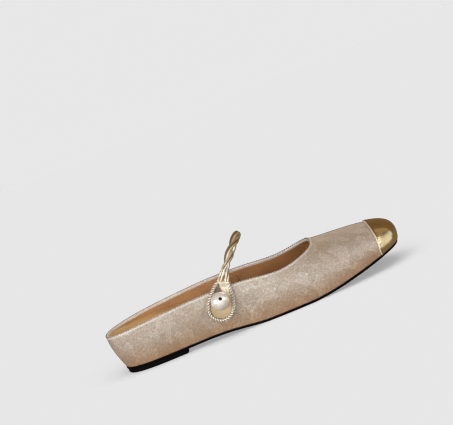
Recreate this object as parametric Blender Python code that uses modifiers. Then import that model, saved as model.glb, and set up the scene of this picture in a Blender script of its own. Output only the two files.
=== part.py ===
"""Right-foot flat mule with an instep strap: a low covered wedge, a capped soft-square toe and a pearl button.

Lengths below are in millimetres in the shoe's own layout: x runs from the back of the heel rim towards the toe,
y is 0 on the centre line with the outer (lateral) side negative, and z is the height above the floor.
Every object is then set down so that the origin is under the middle of the shoe, on the floor.
"""

import math

import bmesh
import bpy
import numpy as np
from mathutils import Vector

MM = 0.001

# ---- driving sizes, mm
LENGTH = 246.0  # back of the heel rim to the front of the toe
BALL_WIDTH = 79.0  # sole, across the joints
THROAT_HEIGHT = 41.0  # vamp at the throat, above the floor
WALL = 1.6  # upper: face cloth, stiffener and lining together
GAP = 0.3  # clearance between pieces that meet
OUTSOLE_T = 1.7
HEEL_PAD_T = 3.0
HEEL_PAD_FRONT = 57.0
CAP_SEAM = 226.0  # toe cap's back edge on the ridge
CAP_BOW = 1.8  # the seam bows forward this far half-way down each side
CAP_T = 0.8
INSOLE_EDGE_CUP = 0.8  # how far the footbed's edge stands above its middle
CENTRE_X, CENTRE_Y = 123.31, -3.22  # middle of the finished shoe

# ---- the sole's underside along the length (x, height of the underside)
SOLE_PROFILE = [
    # x      z
    (0.0, 3.30),
    (57.0, 3.30),
    (76.0, 3.40),
    (92.0, 2.90),
    (107.0, 1.60),
    (119.0, 0.35),
    (126.0, 0.00),
    (145.0, 0.00),
    (162.0, 0.00),
    (172.0, 0.55),
    (187.0, 2.40),
    (202.0, 5.00),
    (217.0, 7.90),
    (232.0, 11.20),
    (246.0, 14.30),
]

# ---- the footbed's middle line (x, height of its surface)
FOOTBED_PROFILE = [
    # x      z
    (0.0, 31.6),
    (20.0, 31.2),
    (45.0, 30.4),
    (68.0, 27.6),
    (92.0, 20.6),
    (114.0, 12.6),
    (134.0, 7.4),
    (152.0, 5.7),
    (170.0, 6.0),
    (195.0, 8.0),
    (220.0, 13.0),
    (246.0, 18.0),
]

# ---- sections round the last, from the heel back along the outer side to the toe and back along the inner side.
# foot_x, top_x: share of LENGTH; foot_y, top_y: share of half BALL_WIDTH; top_z: share of THROAT_HEIGHT.
# rise, roof: lengths of the wall's and the roof's handles, mm; lean: outward slope at the foot; pitch: roof slope, degrees.
SECTION_COLUMNS = ("foot_x", "foot_y", "top_x", "top_y", "top_z", "rise", "lean", "roof", "pitch")
SECTIONS = [
    ("heel_back", 0.0232, 0.000, 0.0012, 0.000, 0.829, 12.0, 0.36, 8.0, 80.0),
    ("heel_corner_out", 0.0512, -0.440, 0.0334, -0.517, 0.849, 12.0, 0.30, 8.0, 80.0),
    ("heel_side_out", 0.1341, -0.653, 0.1341, -0.754, 0.902, 12.0, 0.28, 10.0, 84.0),
    ("heel_breast_out", 0.2439, -0.694, 0.2480, -0.800, 0.937, 12.0, 0.26, 11.0, 85.0),
    ("waist_out", 0.3577, -0.742, 0.3659, -0.838, 0.951, 12.0, 0.25, 12.0, 84.0),
    ("instep_out", 0.4919, -0.868, 0.4959, -0.886, 0.912, 13.0, 0.22, 11.0, 75.0),
    ("joint_out", 0.6098, -0.950, 0.5976, -0.899, 0.844, 13.0, 0.20, 10.0, 60.0),
    ("throat_out", 0.7398, -0.930, 0.6830, -0.722, 0.912, 16.0, 0.18, 13.0, 34.0),
    ("vamp_out", 0.8577, -0.815, 0.7190, -0.443, 0.976, 17.0, 0.20, 26.0, 18.0),
    ("toe_corner_out", 0.9650, -0.519, 0.7246, -0.170, 0.998, 17.0, 0.28, 47.0, 7.0),
    ("toe_tip", 0.9934, 0.025, 0.7260, 0.020, 1.000, 18.6, 0.32, 57.0, 3.6),
    ("toe_corner_in", 0.9706, 0.519, 0.7246, 0.210, 0.998, 17.0, 0.28, 47.0, 7.0),
    ("vamp_in", 0.8699, 0.823, 0.7190, 0.481, 0.978, 17.0, 0.20, 26.0, 18.0),
    ("throat_in", 0.7520, 0.996, 0.6850, 0.747, 0.922, 17.0, 0.16, 14.0, 34.0),
    ("joint_in", 0.6301, 1.025, 0.6016, 0.916, 0.859, 14.0, 0.16, 10.0, 60.0),
    ("instep_in", 0.4959, 0.856, 0.4959, 0.886, 0.922, 13.0, 0.22, 11.0, 75.0),
    ("waist_in", 0.3577, 0.694, 0.3659, 0.822, 0.959, 12.0, 0.26, 12.0, 84.0),
    ("heel_breast_in", 0.2439, 0.684, 0.2480, 0.797, 0.939, 12.0, 0.27, 11.0, 85.0),
    ("heel_side_in", 0.1341, 0.653, 0.1341, 0.754, 0.902, 12.0, 0.28, 10.0, 84.0),
    ("heel_corner_in", 0.0512, 0.440, 0.0334, 0.517, 0.849, 12.0, 0.30, 8.0, 80.0),
]
ROUND = len(SECTIONS)  # the last closes on itself after this many sections
TOE = ROUND // 2

# ---- strap: its middle line over the instep, from the button tab to where it is sewn in on the inner side
STRAP_COLUMNS = ("x", "y", "z", "twist_r", "strand_r")
STRAP = [
    ("tab_top", 104.1, -36.0, 44.05, 2.00, 1.50),
    ("rise_out", 108.8, -33.4, 50.6, 1.65, 1.55),
    ("shoulder_out", 114.8, -25.6, 57.6, 1.50, 1.62),
    ("over_out", 121.8, -12.8, 63.6, 1.45, 1.70),
    ("crown", 127.4, 2.0, 67.4, 1.40, 1.75),
    ("over_in", 125.4, 16.6, 63.0, 1.40, 1.75),
    ("shoulder_in", 118.9, 25.8, 54.6, 1.35, 1.65),
    ("rise_in", 111.6, 29.4, 45.2, 1.30, 1.50),
    ("tuck_in", 107.6, 30.0, 37.4, 1.25, 1.30),
    ("sewn_end", 106.0, 29.4, 30.6, 1.25, 1.20),
]
STRAP_TURNS = 2.83
STRAP_START = 1.3  # turn of the first strand at the tab, in radians from the outer face
STRAP_POINTS = 56
STRAP_BACK = (112.0, 0.0, 26.0)  # the strap's inner face looks to this point

# ---- button tab: a drop-shaped leather piece on the outer wall, its axis leaning towards the toe
PEARL_D = 14.8
PEARL_DEPTH = 12.0
TAB_MIDDLE = (96.8, 30.2)  # x, z on the tab's axis, level with the pearl
PEARL_BACK = 0.8  # the pearl sits this far behind the axis
TAB_LEAN = 26.0
TAB_T = 1.4
RIM_R = 1.15
TAB_OUTLINE = [
    # up the tab, half width
    (-17.8, 0.0),
    (-17.0, 4.0),
    (-14.5, 7.6),
    (-10.4, 10.1),
    (-5.2, 11.0),
    (0.6, 10.4),
    (6.2, 8.9),
    (11.0, 6.9),
    (14.6, 5.4),
]


# ------------------------------------------------------------------ curves
def closed_spline(values, at):
    """Smooth periodic curve through values at 0, 1, 2 ..., read at the given places."""
    values = np.asarray(values, float)
    n = len(values)
    system = np.zeros((n, n))
    for i in range(n):
        system[i, i], system[i, i - 1], system[i, (i + 1) % n] = 4.0, 1.0, 1.0
    slope = np.linalg.solve(system, 3.0 * (np.roll(values, -1, 0) - np.roll(values, 1, 0)))
    at = np.asarray(at, float) % n
    i = np.floor(at).astype(int) % n
    f = (at - np.floor(at)).reshape(at.shape + (1,) * (values.ndim - 1))
    j = (i + 1) % n
    return (
        values[i] * (1 + 2 * f) * (1 - f) ** 2
        + slope[i] * f * (1 - f) ** 2
        + values[j] * f**2 * (3 - 2 * f)
        - slope[j] * f**2 * (1 - f)
    )


def profile(rows, x):
    """Smooth height along x that doesn't overshoot its rows."""
    xs, zs = np.array(rows, float).T
    step = np.diff(zs) / np.diff(xs)
    slope = np.zeros(len(xs))
    same = step[:-1] * step[1:] > 0
    slope[1:-1][same] = 2.0 / (1.0 / step[:-1][same] + 1.0 / step[1:][same])
    slope[0], slope[-1] = step[0], step[-1]
    x = np.clip(np.asarray(x, float), xs[0], xs[-1])
    i = np.clip(np.searchsorted(xs, x, side="right") - 1, 0, len(xs) - 2)
    h = xs[i + 1] - xs[i]
    f = (x - xs[i]) / h
    return (
        zs[i] * (1 + 2 * f) * (1 - f) ** 2
        + slope[i] * h * f * (1 - f) ** 2
        + zs[i + 1] * f**2 * (3 - 2 * f)
        - slope[i + 1] * h * f**2 * (1 - f)
    )


def open_spline(rows, at):
    """Smooth curve through the rows of a table, read at places from 0 to 1 along it."""
    rows = np.asarray(rows, float)
    n = len(rows)
    place = np.asarray(at, float) * (n - 1)
    i = np.clip(np.floor(place).astype(int), 0, n - 2)
    f = (place - i)[:, None]
    first = np.vstack([2 * rows[0] - rows[1], rows, 2 * rows[-1] - rows[-2]])
    a, b, c, d = first[i], first[i + 1], first[i + 2], first[i + 3]
    return b + 0.5 * f * (c - a + f * (2 * a - 5 * b + 4 * c - d + f * (3 * (b - c) + d - a)))


# ------------------------------------------------------------------ the last
def section(s):
    """Columns of the section table at places s round the last."""
    table = np.array([row[1:] for row in SECTIONS], float)
    return dict(zip(SECTION_COLUMNS, closed_spline(table, s).T))


def feather(s):
    """(x, y, z) of the upper's lower edge, where it meets the sole."""
    c = section(s)
    x, y = c["foot_x"] * LENGTH, c["foot_y"] * BALL_WIDTH / 2
    return np.stack([x, y, profile(SOLE_PROFILE, x) + OUTSOLE_T + GAP], axis=-1)


def last(s, t):
    """Outer face of the upper: s goes round the last, t from the sole (0) to the topline (1)."""
    s, t = np.broadcast_arrays(np.asarray(s, float), np.asarray(t, float))
    c = section(s)
    a = feather(s)
    b = np.stack(
        [c["top_x"] * LENGTH, c["top_y"] * BALL_WIDTH / 2, c["top_z"] * THROAT_HEIGHT], axis=-1
    )
    along = feather(s + 0.02) - feather(s - 0.02)
    out = np.stack([along[..., 1], -along[..., 0], 0 * along[..., 0]], axis=-1)
    out *= np.sign(out[..., :1] * (a[..., :1] - LENGTH / 2) + out[..., 1:2] * a[..., 1:2])
    out /= np.linalg.norm(out, axis=-1, keepdims=True)
    reach = (a - b) * [1, 1, 0] + 10.0 * out
    reach /= np.linalg.norm(reach, axis=-1, keepdims=True)
    up = np.array([0.0, 0.0, 1.0])
    pitch = np.radians(c["pitch"])[..., None]
    p1 = a + c["rise"][..., None] * (up + c["lean"][..., None] * out)
    p2 = b + c["roof"][..., None] * (reach * np.cos(pitch) - up * np.sin(pitch))
    t = t[..., None]
    return a * (1 - t) ** 3 + 3 * p1 * t * (1 - t) ** 2 + 3 * p2 * t**2 * (1 - t) + b * t**3


def outward(s, t):
    """Unit normal of the upper's outer face."""
    s, t = np.broadcast_arrays(np.asarray(s, float), np.asarray(t, float))
    low, high = np.clip(t - 0.01, 0, 1), np.clip(t + 0.01, 0, 1)
    n = np.cross(last(s + 0.02, t) - last(s - 0.02, t), last(s, high) - last(s, low))
    n /= np.linalg.norm(n, axis=-1, keepdims=True)
    inside = np.array([LENGTH / 2, 0.0, 20.0])
    flip = np.sign(np.sum(n * (last(s, t) - inside), axis=-1, keepdims=True))
    return n * flip


def shell(s, t, offset):
    return last(s, t) + offset * outward(s, t)


def where(s, reached, low=0.0, high=1.0):
    """The t on each meridian where reached(s, t) first turns true."""
    low, high = np.full(np.shape(s), low), np.full(np.shape(s), high)
    for _ in range(26):
        middle = (low + high) / 2
        done = reached(s, middle)
        low, high = np.where(done, low, middle), np.where(done, middle, high)
    return (low + high) / 2


# ------------------------------------------------------------------ Blender helpers
def clear():
    for obj in list(bpy.data.objects):
        bpy.data.objects.remove(obj, do_unlink=True)


def collection(name):
    found = bpy.data.collections.new(name)
    bpy.context.scene.collection.children.link(found)
    return found


def material(name, colour, roughness, metallic=0.0, coat=0.0):
    made = bpy.data.materials.new(name)
    made.use_nodes = True
    shader = made.node_tree.nodes["Principled BSDF"]
    shader.inputs["Base Color"].default_value = (*colour, 1.0)
    shader.inputs["Roughness"].default_value = roughness
    shader.inputs["Metallic"].default_value = metallic
    shader.inputs["Coat Weight"].default_value = coat
    return made


def place(obj, parts, root, finish, smooth=40.0):
    parts.objects.link(obj)
    obj.parent = root
    obj.data.materials.append(finish)
    obj.data.shade_smooth()
    obj.data.set_sharp_from_angle(angle=math.radians(smooth))
    return obj


def rings_mesh(name, rings, closed=True):
    """Open surface through rings of points: an (n rings, m points, 3) array. closed joins each ring's ends."""
    rings = np.asarray(rings, float)
    n, m = rings.shape[:2]
    bm = bmesh.new()
    grid = [[bm.verts.new(Vector(p) * MM) for p in ring] for ring in rings]
    for i in range(n - 1):
        for j in range(m if closed else m - 1):
            k = (j + 1) % m
            bm.faces.new((grid[i][j], grid[i][k], grid[i + 1][k], grid[i + 1][j]))
    return bm, grid


def finish_mesh(bm, name, outside=True):
    if outside:
        bmesh.ops.recalc_face_normals(bm, faces=bm.faces)
        if bm.calc_volume(signed=True) < 0:
            bmesh.ops.reverse_faces(bm, faces=bm.faces)
    mesh = bpy.data.meshes.new(name)
    bm.to_mesh(mesh)
    bm.free()
    return bpy.data.objects.new(name, mesh)


def face_away(obj, inside):
    """Turns an open surface so that its faces look away from a point."""
    bm = bmesh.new()
    bm.from_mesh(obj.data)
    bmesh.ops.recalc_face_normals(bm, faces=bm.faces)
    total = sum((f.calc_center_median() - Vector(inside) * MM).dot(f.normal) * f.calc_area() for f in bm.faces)
    if total < 0:
        bmesh.ops.reverse_faces(bm, faces=bm.faces)
    bm.to_mesh(obj.data)
    bm.free()


def solidify(obj, thickness, offset):
    made = obj.modifiers.new("wall", "SOLIDIFY")
    made.thickness = thickness * MM
    made.offset = offset
    made.use_even_offset = True
    made.use_quality_normals = True


def ladder(grid_bm, ring, across=1, height=None):
    """Closes a ring of vertices with rungs between its outer and inner halves. height(x, y, share) lifts points between them."""
    n = len(ring)
    rows = []
    for i in range(n // 2 + 1):
        a, b = ring[i], ring[-i % n]
        if a is b:
            rows.append([a])
            continue
        row = [a]
        for k in range(1, across):
            share = k / across
            p = a.co.lerp(b.co, share)
            if height is not None:
                p.z = height(p.x / MM, share) * MM
            row.append(grid_bm.verts.new(p))
        rows.append([*row, b])
    for p, q in zip(rows, rows[1:]):
        if len(p) == 1:
            for k in range(len(q) - 1):
                grid_bm.faces.new((p[0], q[k], q[k + 1]))
        elif len(q) == 1:
            for k in range(len(p) - 1):
                grid_bm.faces.new((p[k], q[0], p[k + 1]))
        else:
            for k in range(len(p) - 1):
                grid_bm.faces.new((p[k], q[k], q[k + 1], p[k + 1]))


def tube(name, points, radii, cyclic=False, sides=2):
    """A round cord along points, as a mesh made from a bevelled curve."""
    curve = bpy.data.curves.new(name, "CURVE")
    curve.dimensions = "3D"
    curve.bevel_depth = MM
    curve.bevel_resolution = sides
    curve.use_fill_caps = True
    spline = curve.splines.new("POLY")
    spline.points.add(len(points) - 1)
    for point, at, r in zip(spline.points, points, radii):
        point.co = (*(Vector(at) * MM), 1.0)
        point.radius = r
    spline.use_cyclic_u = cyclic
    obj = bpy.data.objects.new(name + "_curve", curve)
    bpy.context.scene.collection.objects.link(obj)
    bpy.context.view_layer.update()
    graph = bpy.context.evaluated_depsgraph_get()
    mesh = bpy.data.meshes.new_from_object(obj.evaluated_get(graph))
    bm = bmesh.new()
    bm.from_mesh(mesh)
    bmesh.ops.remove_doubles(bm, verts=bm.verts, dist=1e-6)
    bmesh.ops.recalc_face_normals(bm, faces=bm.faces)
    bm.to_mesh(mesh)
    bm.free()
    bpy.data.objects.remove(obj, do_unlink=True)
    mesh.name = name
    return bpy.data.objects.new(name, mesh)


# ------------------------------------------------------------------ pieces
AROUND = np.arange(0, ROUND, 0.25)


def build_upper():
    levels = [0.0, 0.1, 0.2, 0.3, 0.4, 0.5, 0.6, 0.7, 0.8, 0.9, 1.0]
    rings = [last(AROUND, np.full(len(AROUND), t)) for t in levels]
    bm, _ = rings_mesh("upper", rings)
    obj = finish_mesh(bm, "upper")
    face_away(obj, (LENGTH / 2, 0.0, 20.0))
    solidify(obj, WALL, -1.0)
    return obj


def behind_seam(p):
    """Whether points of the upper lie behind the toe cap's back edge."""
    low = profile(SOLE_PROFILE, CAP_SEAM) + OUTSOLE_T
    share = np.clip((p[..., 2] - low) / (THROAT_HEIGHT - 3.0 - low), 0, 1)
    return p[..., 0] < CAP_SEAM + CAP_BOW * np.sin(math.pi * share)


def build_toe_cap():
    """The upper's own toe, set off by the gap, from the sole's edge back to the seam."""
    feet = lambda s: feather(s)[..., 0] - CAP_SEAM
    lo, hi = TOE - 3.0, TOE + 3.0
    fine = np.linspace(lo, hi, 601)
    inside = fine[feet(fine) > 0.4]
    s = np.linspace(inside[0], inside[-1], 33)
    seam = where(s, lambda a, t: behind_seam(shell(a, t, GAP)), low=0.02, high=1.0)
    rings = [shell(s, seam * k / 9, GAP) for k in range(10)]
    bm, _ = rings_mesh("toe_cap", rings, closed=False)
    obj = finish_mesh(bm, "toe_cap")
    face_away(obj, (LENGTH - 40.0, 0.0, 22.0))
    solidify(obj, CAP_T, 1.0)
    return obj


def plate_ring(x_limit=None, inset=0.0):
    """Outline of the sole as pairs of outer and inner points, from the heel back to x_limit or the toe."""
    middle = np.array([LENGTH * 0.5, 0.0])
    fine = np.arange(0, ROUND, 0.25)
    along = feather(fine + 0.02) - feather(fine - 0.02)
    normal = np.stack([along[:, 1], -along[:, 0]], axis=-1)
    normal /= np.linalg.norm(normal, axis=1, keepdims=True)
    facing = np.sum(normal * (feather(fine)[:, :2] - middle), axis=1)
    normal *= np.sign(facing)[:, None]
    shifted = feather(fine)[:, :2] - inset * normal
    n = len(fine)
    pairs = [(shifted[i], shifted[-i % n]) for i in range(n // 2 + 1)]
    if x_limit is None:
        return pairs
    kept = [p for p in pairs if max(p[0][0], p[1][0]) < x_limit - 1.0]
    i = len(kept)
    ends = []
    for k in (0, 1):
        a, b = pairs[i - 1][k], pairs[i][k]
        f = (x_limit - a[0]) / (b[0] - a[0])
        ends.append(a + f * (b - a))
    return kept + [tuple(ends)]


def plate(name, pairs, under, thickness):
    """Plate whose underside is under(x), through pairs of outer and inner points."""
    bm = bmesh.new()
    rows = []
    for a, b in pairs:
        ends = [a] if np.allclose(a, b) else [a, b]
        rows.append([bm.verts.new((p[0] * MM, p[1] * MM, float(under(p[0])) * MM)) for p in ends])
    for p, q in zip(rows, rows[1:]):
        bm.faces.new([*p, *reversed(q)])
    obj = finish_mesh(bm, name, outside=False)
    face_away(obj, (LENGTH / 2, 0.0, 400.0))
    solidify(obj, thickness, -1.0)
    return obj


def build_outsole():
    return plate("outsole", plate_ring(inset=-0.25), lambda x: profile(SOLE_PROFILE, x), OUTSOLE_T)


def build_heel_pad():
    pad = plate("heel_pad", plate_ring(HEEL_PAD_FRONT, inset=0.35), lambda x: 0.0 * x, HEEL_PAD_T)
    edge = pad.modifiers.new("edge", "BEVEL")
    edge.width = 0.4 * MM
    edge.segments = 1
    edge.limit_method = "ANGLE"
    edge.angle_limit = math.radians(60)
    return pad


def footbed(x, share):
    """Height of the insole's face: the middle line, raised a little towards both edges."""
    return float(profile(FOOTBED_PROFILE, x)) + INSOLE_EDGE_CUP * (2 * share - 1) ** 4


def build_insole():
    inner = -(WALL + GAP)
    rim = where(
        AROUND,
        lambda s, t: shell(s, t, inner)[..., 2]
        > profile(FOOTBED_PROFILE, shell(s, t, inner)[..., 0]) + INSOLE_EDGE_CUP,
    )
    rings = [shell(AROUND, rim * k / 3, inner) for k in range(4)]
    bm, grid = rings_mesh("insole", rings)
    ladder(bm, grid[-1], across=8, height=footbed)
    ladder(bm, grid[0])
    return finish_mesh(bm, "insole")


def strap_frame():
    """Middle line of the strap with its two cross directions, evenly spaced along it."""
    table = np.array([row[1:] for row in STRAP], float)
    fine = open_spline(table, np.linspace(0, 1, 801))
    run = np.concatenate([[0], np.cumsum(np.linalg.norm(np.diff(fine[:, :3], axis=0), axis=1))])
    even = np.linspace(0, run[-1], STRAP_POINTS)
    rows = np.stack([np.interp(even, run, column) for column in fine.T], axis=1)
    line = rows[:, :3]
    along = np.gradient(line, axis=0)
    along /= np.linalg.norm(along, axis=1, keepdims=True)
    away = line - np.array(STRAP_BACK)
    away -= np.sum(away * along, axis=1, keepdims=True) * along
    away /= np.linalg.norm(away, axis=1, keepdims=True)
    return rows, along, away, np.cross(along, away), even / run[-1]


def build_strap():
    """Two strands laid round each other, joined into one piece."""
    rows, _, away, across, share = strap_frame()
    strands = []
    for k in (0, 1):
        turn = STRAP_START + math.pi * k + 2 * math.pi * STRAP_TURNS * share
        side = np.cos(turn)[:, None] * away + np.sin(turn)[:, None] * across
        points = rows[:, :3] + rows[:, 3:4] * side
        strands.append(tube(f"strand_{k}", points, rows[:, 4]))
    return strands


def wall_y(x, z):
    """y of the outer wall's face at x and height z on the outer side, carried straight on above the topline."""
    s = np.linspace(2.0, 6.0, 161)
    out = []
    for px, pz in zip(np.ravel(x), np.ravel(z)):
        t = where(s, lambda a, b: last(a, b)[..., 2] > pz)
        points = last(s, np.minimum(t, 0.999))
        top = np.interp(px, points[:, 0], points[:, 1])
        out.append(top)
    return np.array(out).reshape(np.shape(x))


def tab_point(up, over, height):
    """Point on the tab: up its axis, over across it, and height out from the wall."""
    lean = math.radians(TAB_LEAN)
    up, over = np.asarray(up, float), np.asarray(over, float)
    x = TAB_MIDDLE[0] + up * math.sin(lean) + over * math.cos(lean)
    z = TAB_MIDDLE[1] + up * math.cos(lean) - over * math.sin(lean)
    return np.stack([x, wall_y(x, z) - height, z], axis=-1)


def tab_loop(count, inset=0.0):
    """Closed outline of the tab as (up, over) points, set in from the edge."""
    rows = np.array(TAB_OUTLINE, float)
    one = open_spline(rows, np.linspace(0, 1, count))
    right = one[1:]
    left = one[1:][::-1] * [1, -1]
    loop = np.vstack([one[:1], right, left])
    middle = np.array([-1.5, 0.0])
    step = np.roll(loop, -1, 0) - np.roll(loop, 1, 0)
    normal = np.stack([step[:, 1], -step[:, 0]], axis=1)
    normal /= np.linalg.norm(normal, axis=1, keepdims=True)
    normal *= np.sign(np.sum(normal * (loop - middle), axis=1))[:, None]
    return loop - inset * normal


def build_tab():
    """Drop-shaped plate on the wall, from rings that shrink to its middle."""
    loop = tab_loop(13)
    middle = np.array([-1.5, 0.0])
    rings = []
    for share in (1.0, 0.7, 0.35):
        flat = middle + (loop - middle) * share
        rings.append(tab_point(flat[:, 0], flat[:, 1], GAP))
    bm, grid = rings_mesh("tab", rings)
    centre = bm.verts.new(Vector(tab_point(middle[0], middle[1], GAP)) * MM)
    for j in range(len(grid[-1])):
        bm.faces.new((grid[-1][j], grid[-1][(j + 1) % len(grid[-1])], centre))
    obj = finish_mesh(bm, "tab", outside=False)
    face_away(obj, (TAB_MIDDLE[0], 200.0, TAB_MIDDLE[1]))
    solidify(obj, TAB_T, 1.0)
    return obj


def build_tab_rim():
    loop = tab_loop(19, inset=RIM_R)
    points = tab_point(loop[:, 0], loop[:, 1], 2 * GAP + TAB_T + RIM_R)
    return tube("tab_rim", points, np.full(len(points), RIM_R), cyclic=True)


def build_pearl():
    """A ball flattened a little and cut flat at the back, where it is riveted to the tab."""
    bm = bmesh.new()
    bmesh.ops.create_uvsphere(bm, u_segments=28, v_segments=18, radius=PEARL_D / 2 * MM)
    cut = -(PEARL_DEPTH - PEARL_D / 2) * MM
    ball = list(bm.verts) + list(bm.edges) + list(bm.faces)
    bmesh.ops.bisect_plane(bm, geom=ball, plane_co=(0, 0, cut), plane_no=(0, 0, -1), clear_outer=True)
    bmesh.ops.holes_fill(bm, edges=[e for e in bm.edges if e.is_boundary])
    obj = finish_mesh(bm, "pearl")
    seat = tab_point(np.array([0.0, 2.0, 0.0]), np.array([0.0, 0.0, 2.0]) - PEARL_BACK, GAP + TAB_T)
    normal = np.cross(seat[1] - seat[0], seat[2] - seat[0])
    normal /= np.linalg.norm(normal)
    if normal[1] > 0:
        normal = -normal
    at = seat[0] + normal * (2 * GAP + PEARL_DEPTH - PEARL_D / 2)
    obj.location = Vector(at) * MM
    obj.rotation_mode = "QUATERNION"
    obj.rotation_quaternion = Vector(normal).to_track_quat("Z", "Y")
    return obj


# ------------------------------------------------------------------ assembly
def main():
    clear()
    parts = collection("mule")
    root = bpy.data.objects.new("mule_origin", None)
    parts.objects.link(root)
    root.location = (-CENTRE_X * MM, -CENTRE_Y * MM, 0.0)

    brocade = material("brocade", (0.55, 0.47, 0.38), 0.45)
    mirror_gold = material("mirror_gold_leather", (0.72, 0.56, 0.30), 0.18, metallic=1.0)
    pale_gold = material("pale_gold_leather", (0.68, 0.58, 0.40), 0.32, metallic=0.8)
    gold_lining = material("gold_insole_leather", (0.66, 0.46, 0.20), 0.42, metallic=0.4)
    rubber = material("black_rubber", (0.012, 0.012, 0.012), 0.55)
    pearl = material("pearl", (0.80, 0.77, 0.72), 0.12, coat=0.6)

    place(build_upper(), parts, root, brocade)
    place(build_toe_cap(), parts, root, mirror_gold)
    place(build_outsole(), parts, root, rubber, smooth=30)
    place(build_heel_pad(), parts, root, rubber, smooth=30)
    place(build_insole(), parts, root, gold_lining)
    place(build_tab(), parts, root, pale_gold)
    place(build_tab_rim(), parts, root, pale_gold)
    place(build_pearl(), parts, root, pearl)

    first, second = build_strap()
    first.name = "strap"
    place(first, parts, root, pale_gold)
    helpers = collection("joined")
    helpers.objects.link(second)
    second.parent = root
    second.hide_render = True
    second.display_type = "WIRE"
    join = first.modifiers.new("strands", "BOOLEAN")
    join.operation = "UNION"
    join.solver = "EXACT"
    join.object = second


main()
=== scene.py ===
"""Looks for the right-foot strapped mule: brocade upper, mirror-gold toe cap, twisted strap and pearl button."""

import math

import bmesh
import bpy
import numpy as np
from mathutils import Matrix, Vector


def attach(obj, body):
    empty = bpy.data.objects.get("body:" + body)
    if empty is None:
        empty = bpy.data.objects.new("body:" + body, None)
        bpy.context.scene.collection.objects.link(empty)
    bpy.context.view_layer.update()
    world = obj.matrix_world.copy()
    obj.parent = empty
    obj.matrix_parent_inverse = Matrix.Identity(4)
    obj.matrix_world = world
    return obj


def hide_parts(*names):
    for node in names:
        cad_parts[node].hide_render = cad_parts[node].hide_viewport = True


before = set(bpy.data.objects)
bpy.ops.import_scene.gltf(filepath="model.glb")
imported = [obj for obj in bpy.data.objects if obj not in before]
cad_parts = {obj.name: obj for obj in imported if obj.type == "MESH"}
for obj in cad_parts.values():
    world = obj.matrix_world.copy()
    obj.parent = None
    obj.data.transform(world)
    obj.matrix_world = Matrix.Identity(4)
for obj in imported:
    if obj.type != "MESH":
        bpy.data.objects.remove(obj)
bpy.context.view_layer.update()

MM = 0.001

# ------------------------------------------------------------------ sizes, as in the part's own layout (mm)
LENGTH = 246.0
BALL_WIDTH = 79.0
THROAT_HEIGHT = 41.0
WALL = 1.6
GAP = 0.3
OUTSOLE_T = 1.7
HEEL_PAD_T = 3.0
HEEL_PAD_FRONT = 57.0
CAP_SEAM = 226.0
CAP_BOW = 1.8
CAP_T = 0.8
INSOLE_EDGE_CUP = 0.8
CENTRE_X, CENTRE_Y = 123.31, -3.22
ORIGIN = np.array([CENTRE_X, CENTRE_Y, 0.0])

SOLE_PROFILE = [
    (0.0, 3.30), (57.0, 3.30), (76.0, 3.40), (92.0, 2.90), (107.0, 1.60), (119.0, 0.35), (126.0, 0.00), (145.0, 0.00),
    (162.0, 0.00), (172.0, 0.55), (187.0, 2.40), (202.0, 5.00), (217.0, 7.90), (232.0, 11.20), (246.0, 14.30),
]
FOOTBED_PROFILE = [
    (0.0, 31.6), (20.0, 31.2), (45.0, 30.4), (68.0, 27.6), (92.0, 20.6), (114.0, 12.6), (134.0, 7.4), (152.0, 5.7),
    (170.0, 6.0), (195.0, 8.0), (220.0, 13.0), (246.0, 18.0),
]
SECTION_COLUMNS = ("foot_x", "foot_y", "top_x", "top_y", "top_z", "rise", "lean", "roof", "pitch")
SECTIONS = [
    ("heel_back", 0.0232, 0.000, 0.0012, 0.000, 0.829, 12.0, 0.36, 8.0, 80.0),
    ("heel_corner_out", 0.0512, -0.440, 0.0334, -0.517, 0.849, 12.0, 0.30, 8.0, 80.0),
    ("heel_side_out", 0.1341, -0.653, 0.1341, -0.754, 0.902, 12.0, 0.28, 10.0, 84.0),
    ("heel_breast_out", 0.2439, -0.694, 0.2480, -0.800, 0.937, 12.0, 0.26, 11.0, 85.0),
    ("waist_out", 0.3577, -0.742, 0.3659, -0.838, 0.951, 12.0, 0.25, 12.0, 84.0),
    ("instep_out", 0.4919, -0.868, 0.4959, -0.886, 0.912, 13.0, 0.22, 11.0, 75.0),
    ("joint_out", 0.6098, -0.950, 0.5976, -0.899, 0.844, 13.0, 0.20, 10.0, 60.0),
    ("throat_out", 0.7398, -0.930, 0.6830, -0.722, 0.912, 16.0, 0.18, 13.0, 34.0),
    ("vamp_out", 0.8577, -0.815, 0.7190, -0.443, 0.976, 17.0, 0.20, 26.0, 18.0),
    ("toe_corner_out", 0.9650, -0.519, 0.7246, -0.170, 0.998, 17.0, 0.28, 47.0, 7.0),
    ("toe_tip", 0.9934, 0.025, 0.7260, 0.020, 1.000, 18.6, 0.32, 57.0, 3.6),
    ("toe_corner_in", 0.9706, 0.519, 0.7246, 0.210, 0.998, 17.0, 0.28, 47.0, 7.0),
    ("vamp_in", 0.8699, 0.823, 0.7190, 0.481, 0.978, 17.0, 0.20, 26.0, 18.0),
    ("throat_in", 0.7520, 0.996, 0.6850, 0.747, 0.922, 17.0, 0.16, 14.0, 34.0),
    ("joint_in", 0.6301, 1.025, 0.6016, 0.916, 0.859, 14.0, 0.16, 10.0, 60.0),
    ("instep_in", 0.4959, 0.856, 0.4959, 0.886, 0.922, 13.0, 0.22, 11.0, 75.0),
    ("waist_in", 0.3577, 0.694, 0.3659, 0.822, 0.959, 12.0, 0.26, 12.0, 84.0),
    ("heel_breast_in", 0.2439, 0.684, 0.2480, 0.797, 0.939, 12.0, 0.27, 11.0, 85.0),
    ("heel_side_in", 0.1341, 0.653, 0.1341, 0.754, 0.902, 12.0, 0.28, 10.0, 84.0),
    ("heel_corner_in", 0.0512, 0.440, 0.0334, 0.517, 0.849, 12.0, 0.30, 8.0, 80.0),
]
ROUND = len(SECTIONS)
TOE = ROUND // 2
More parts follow.
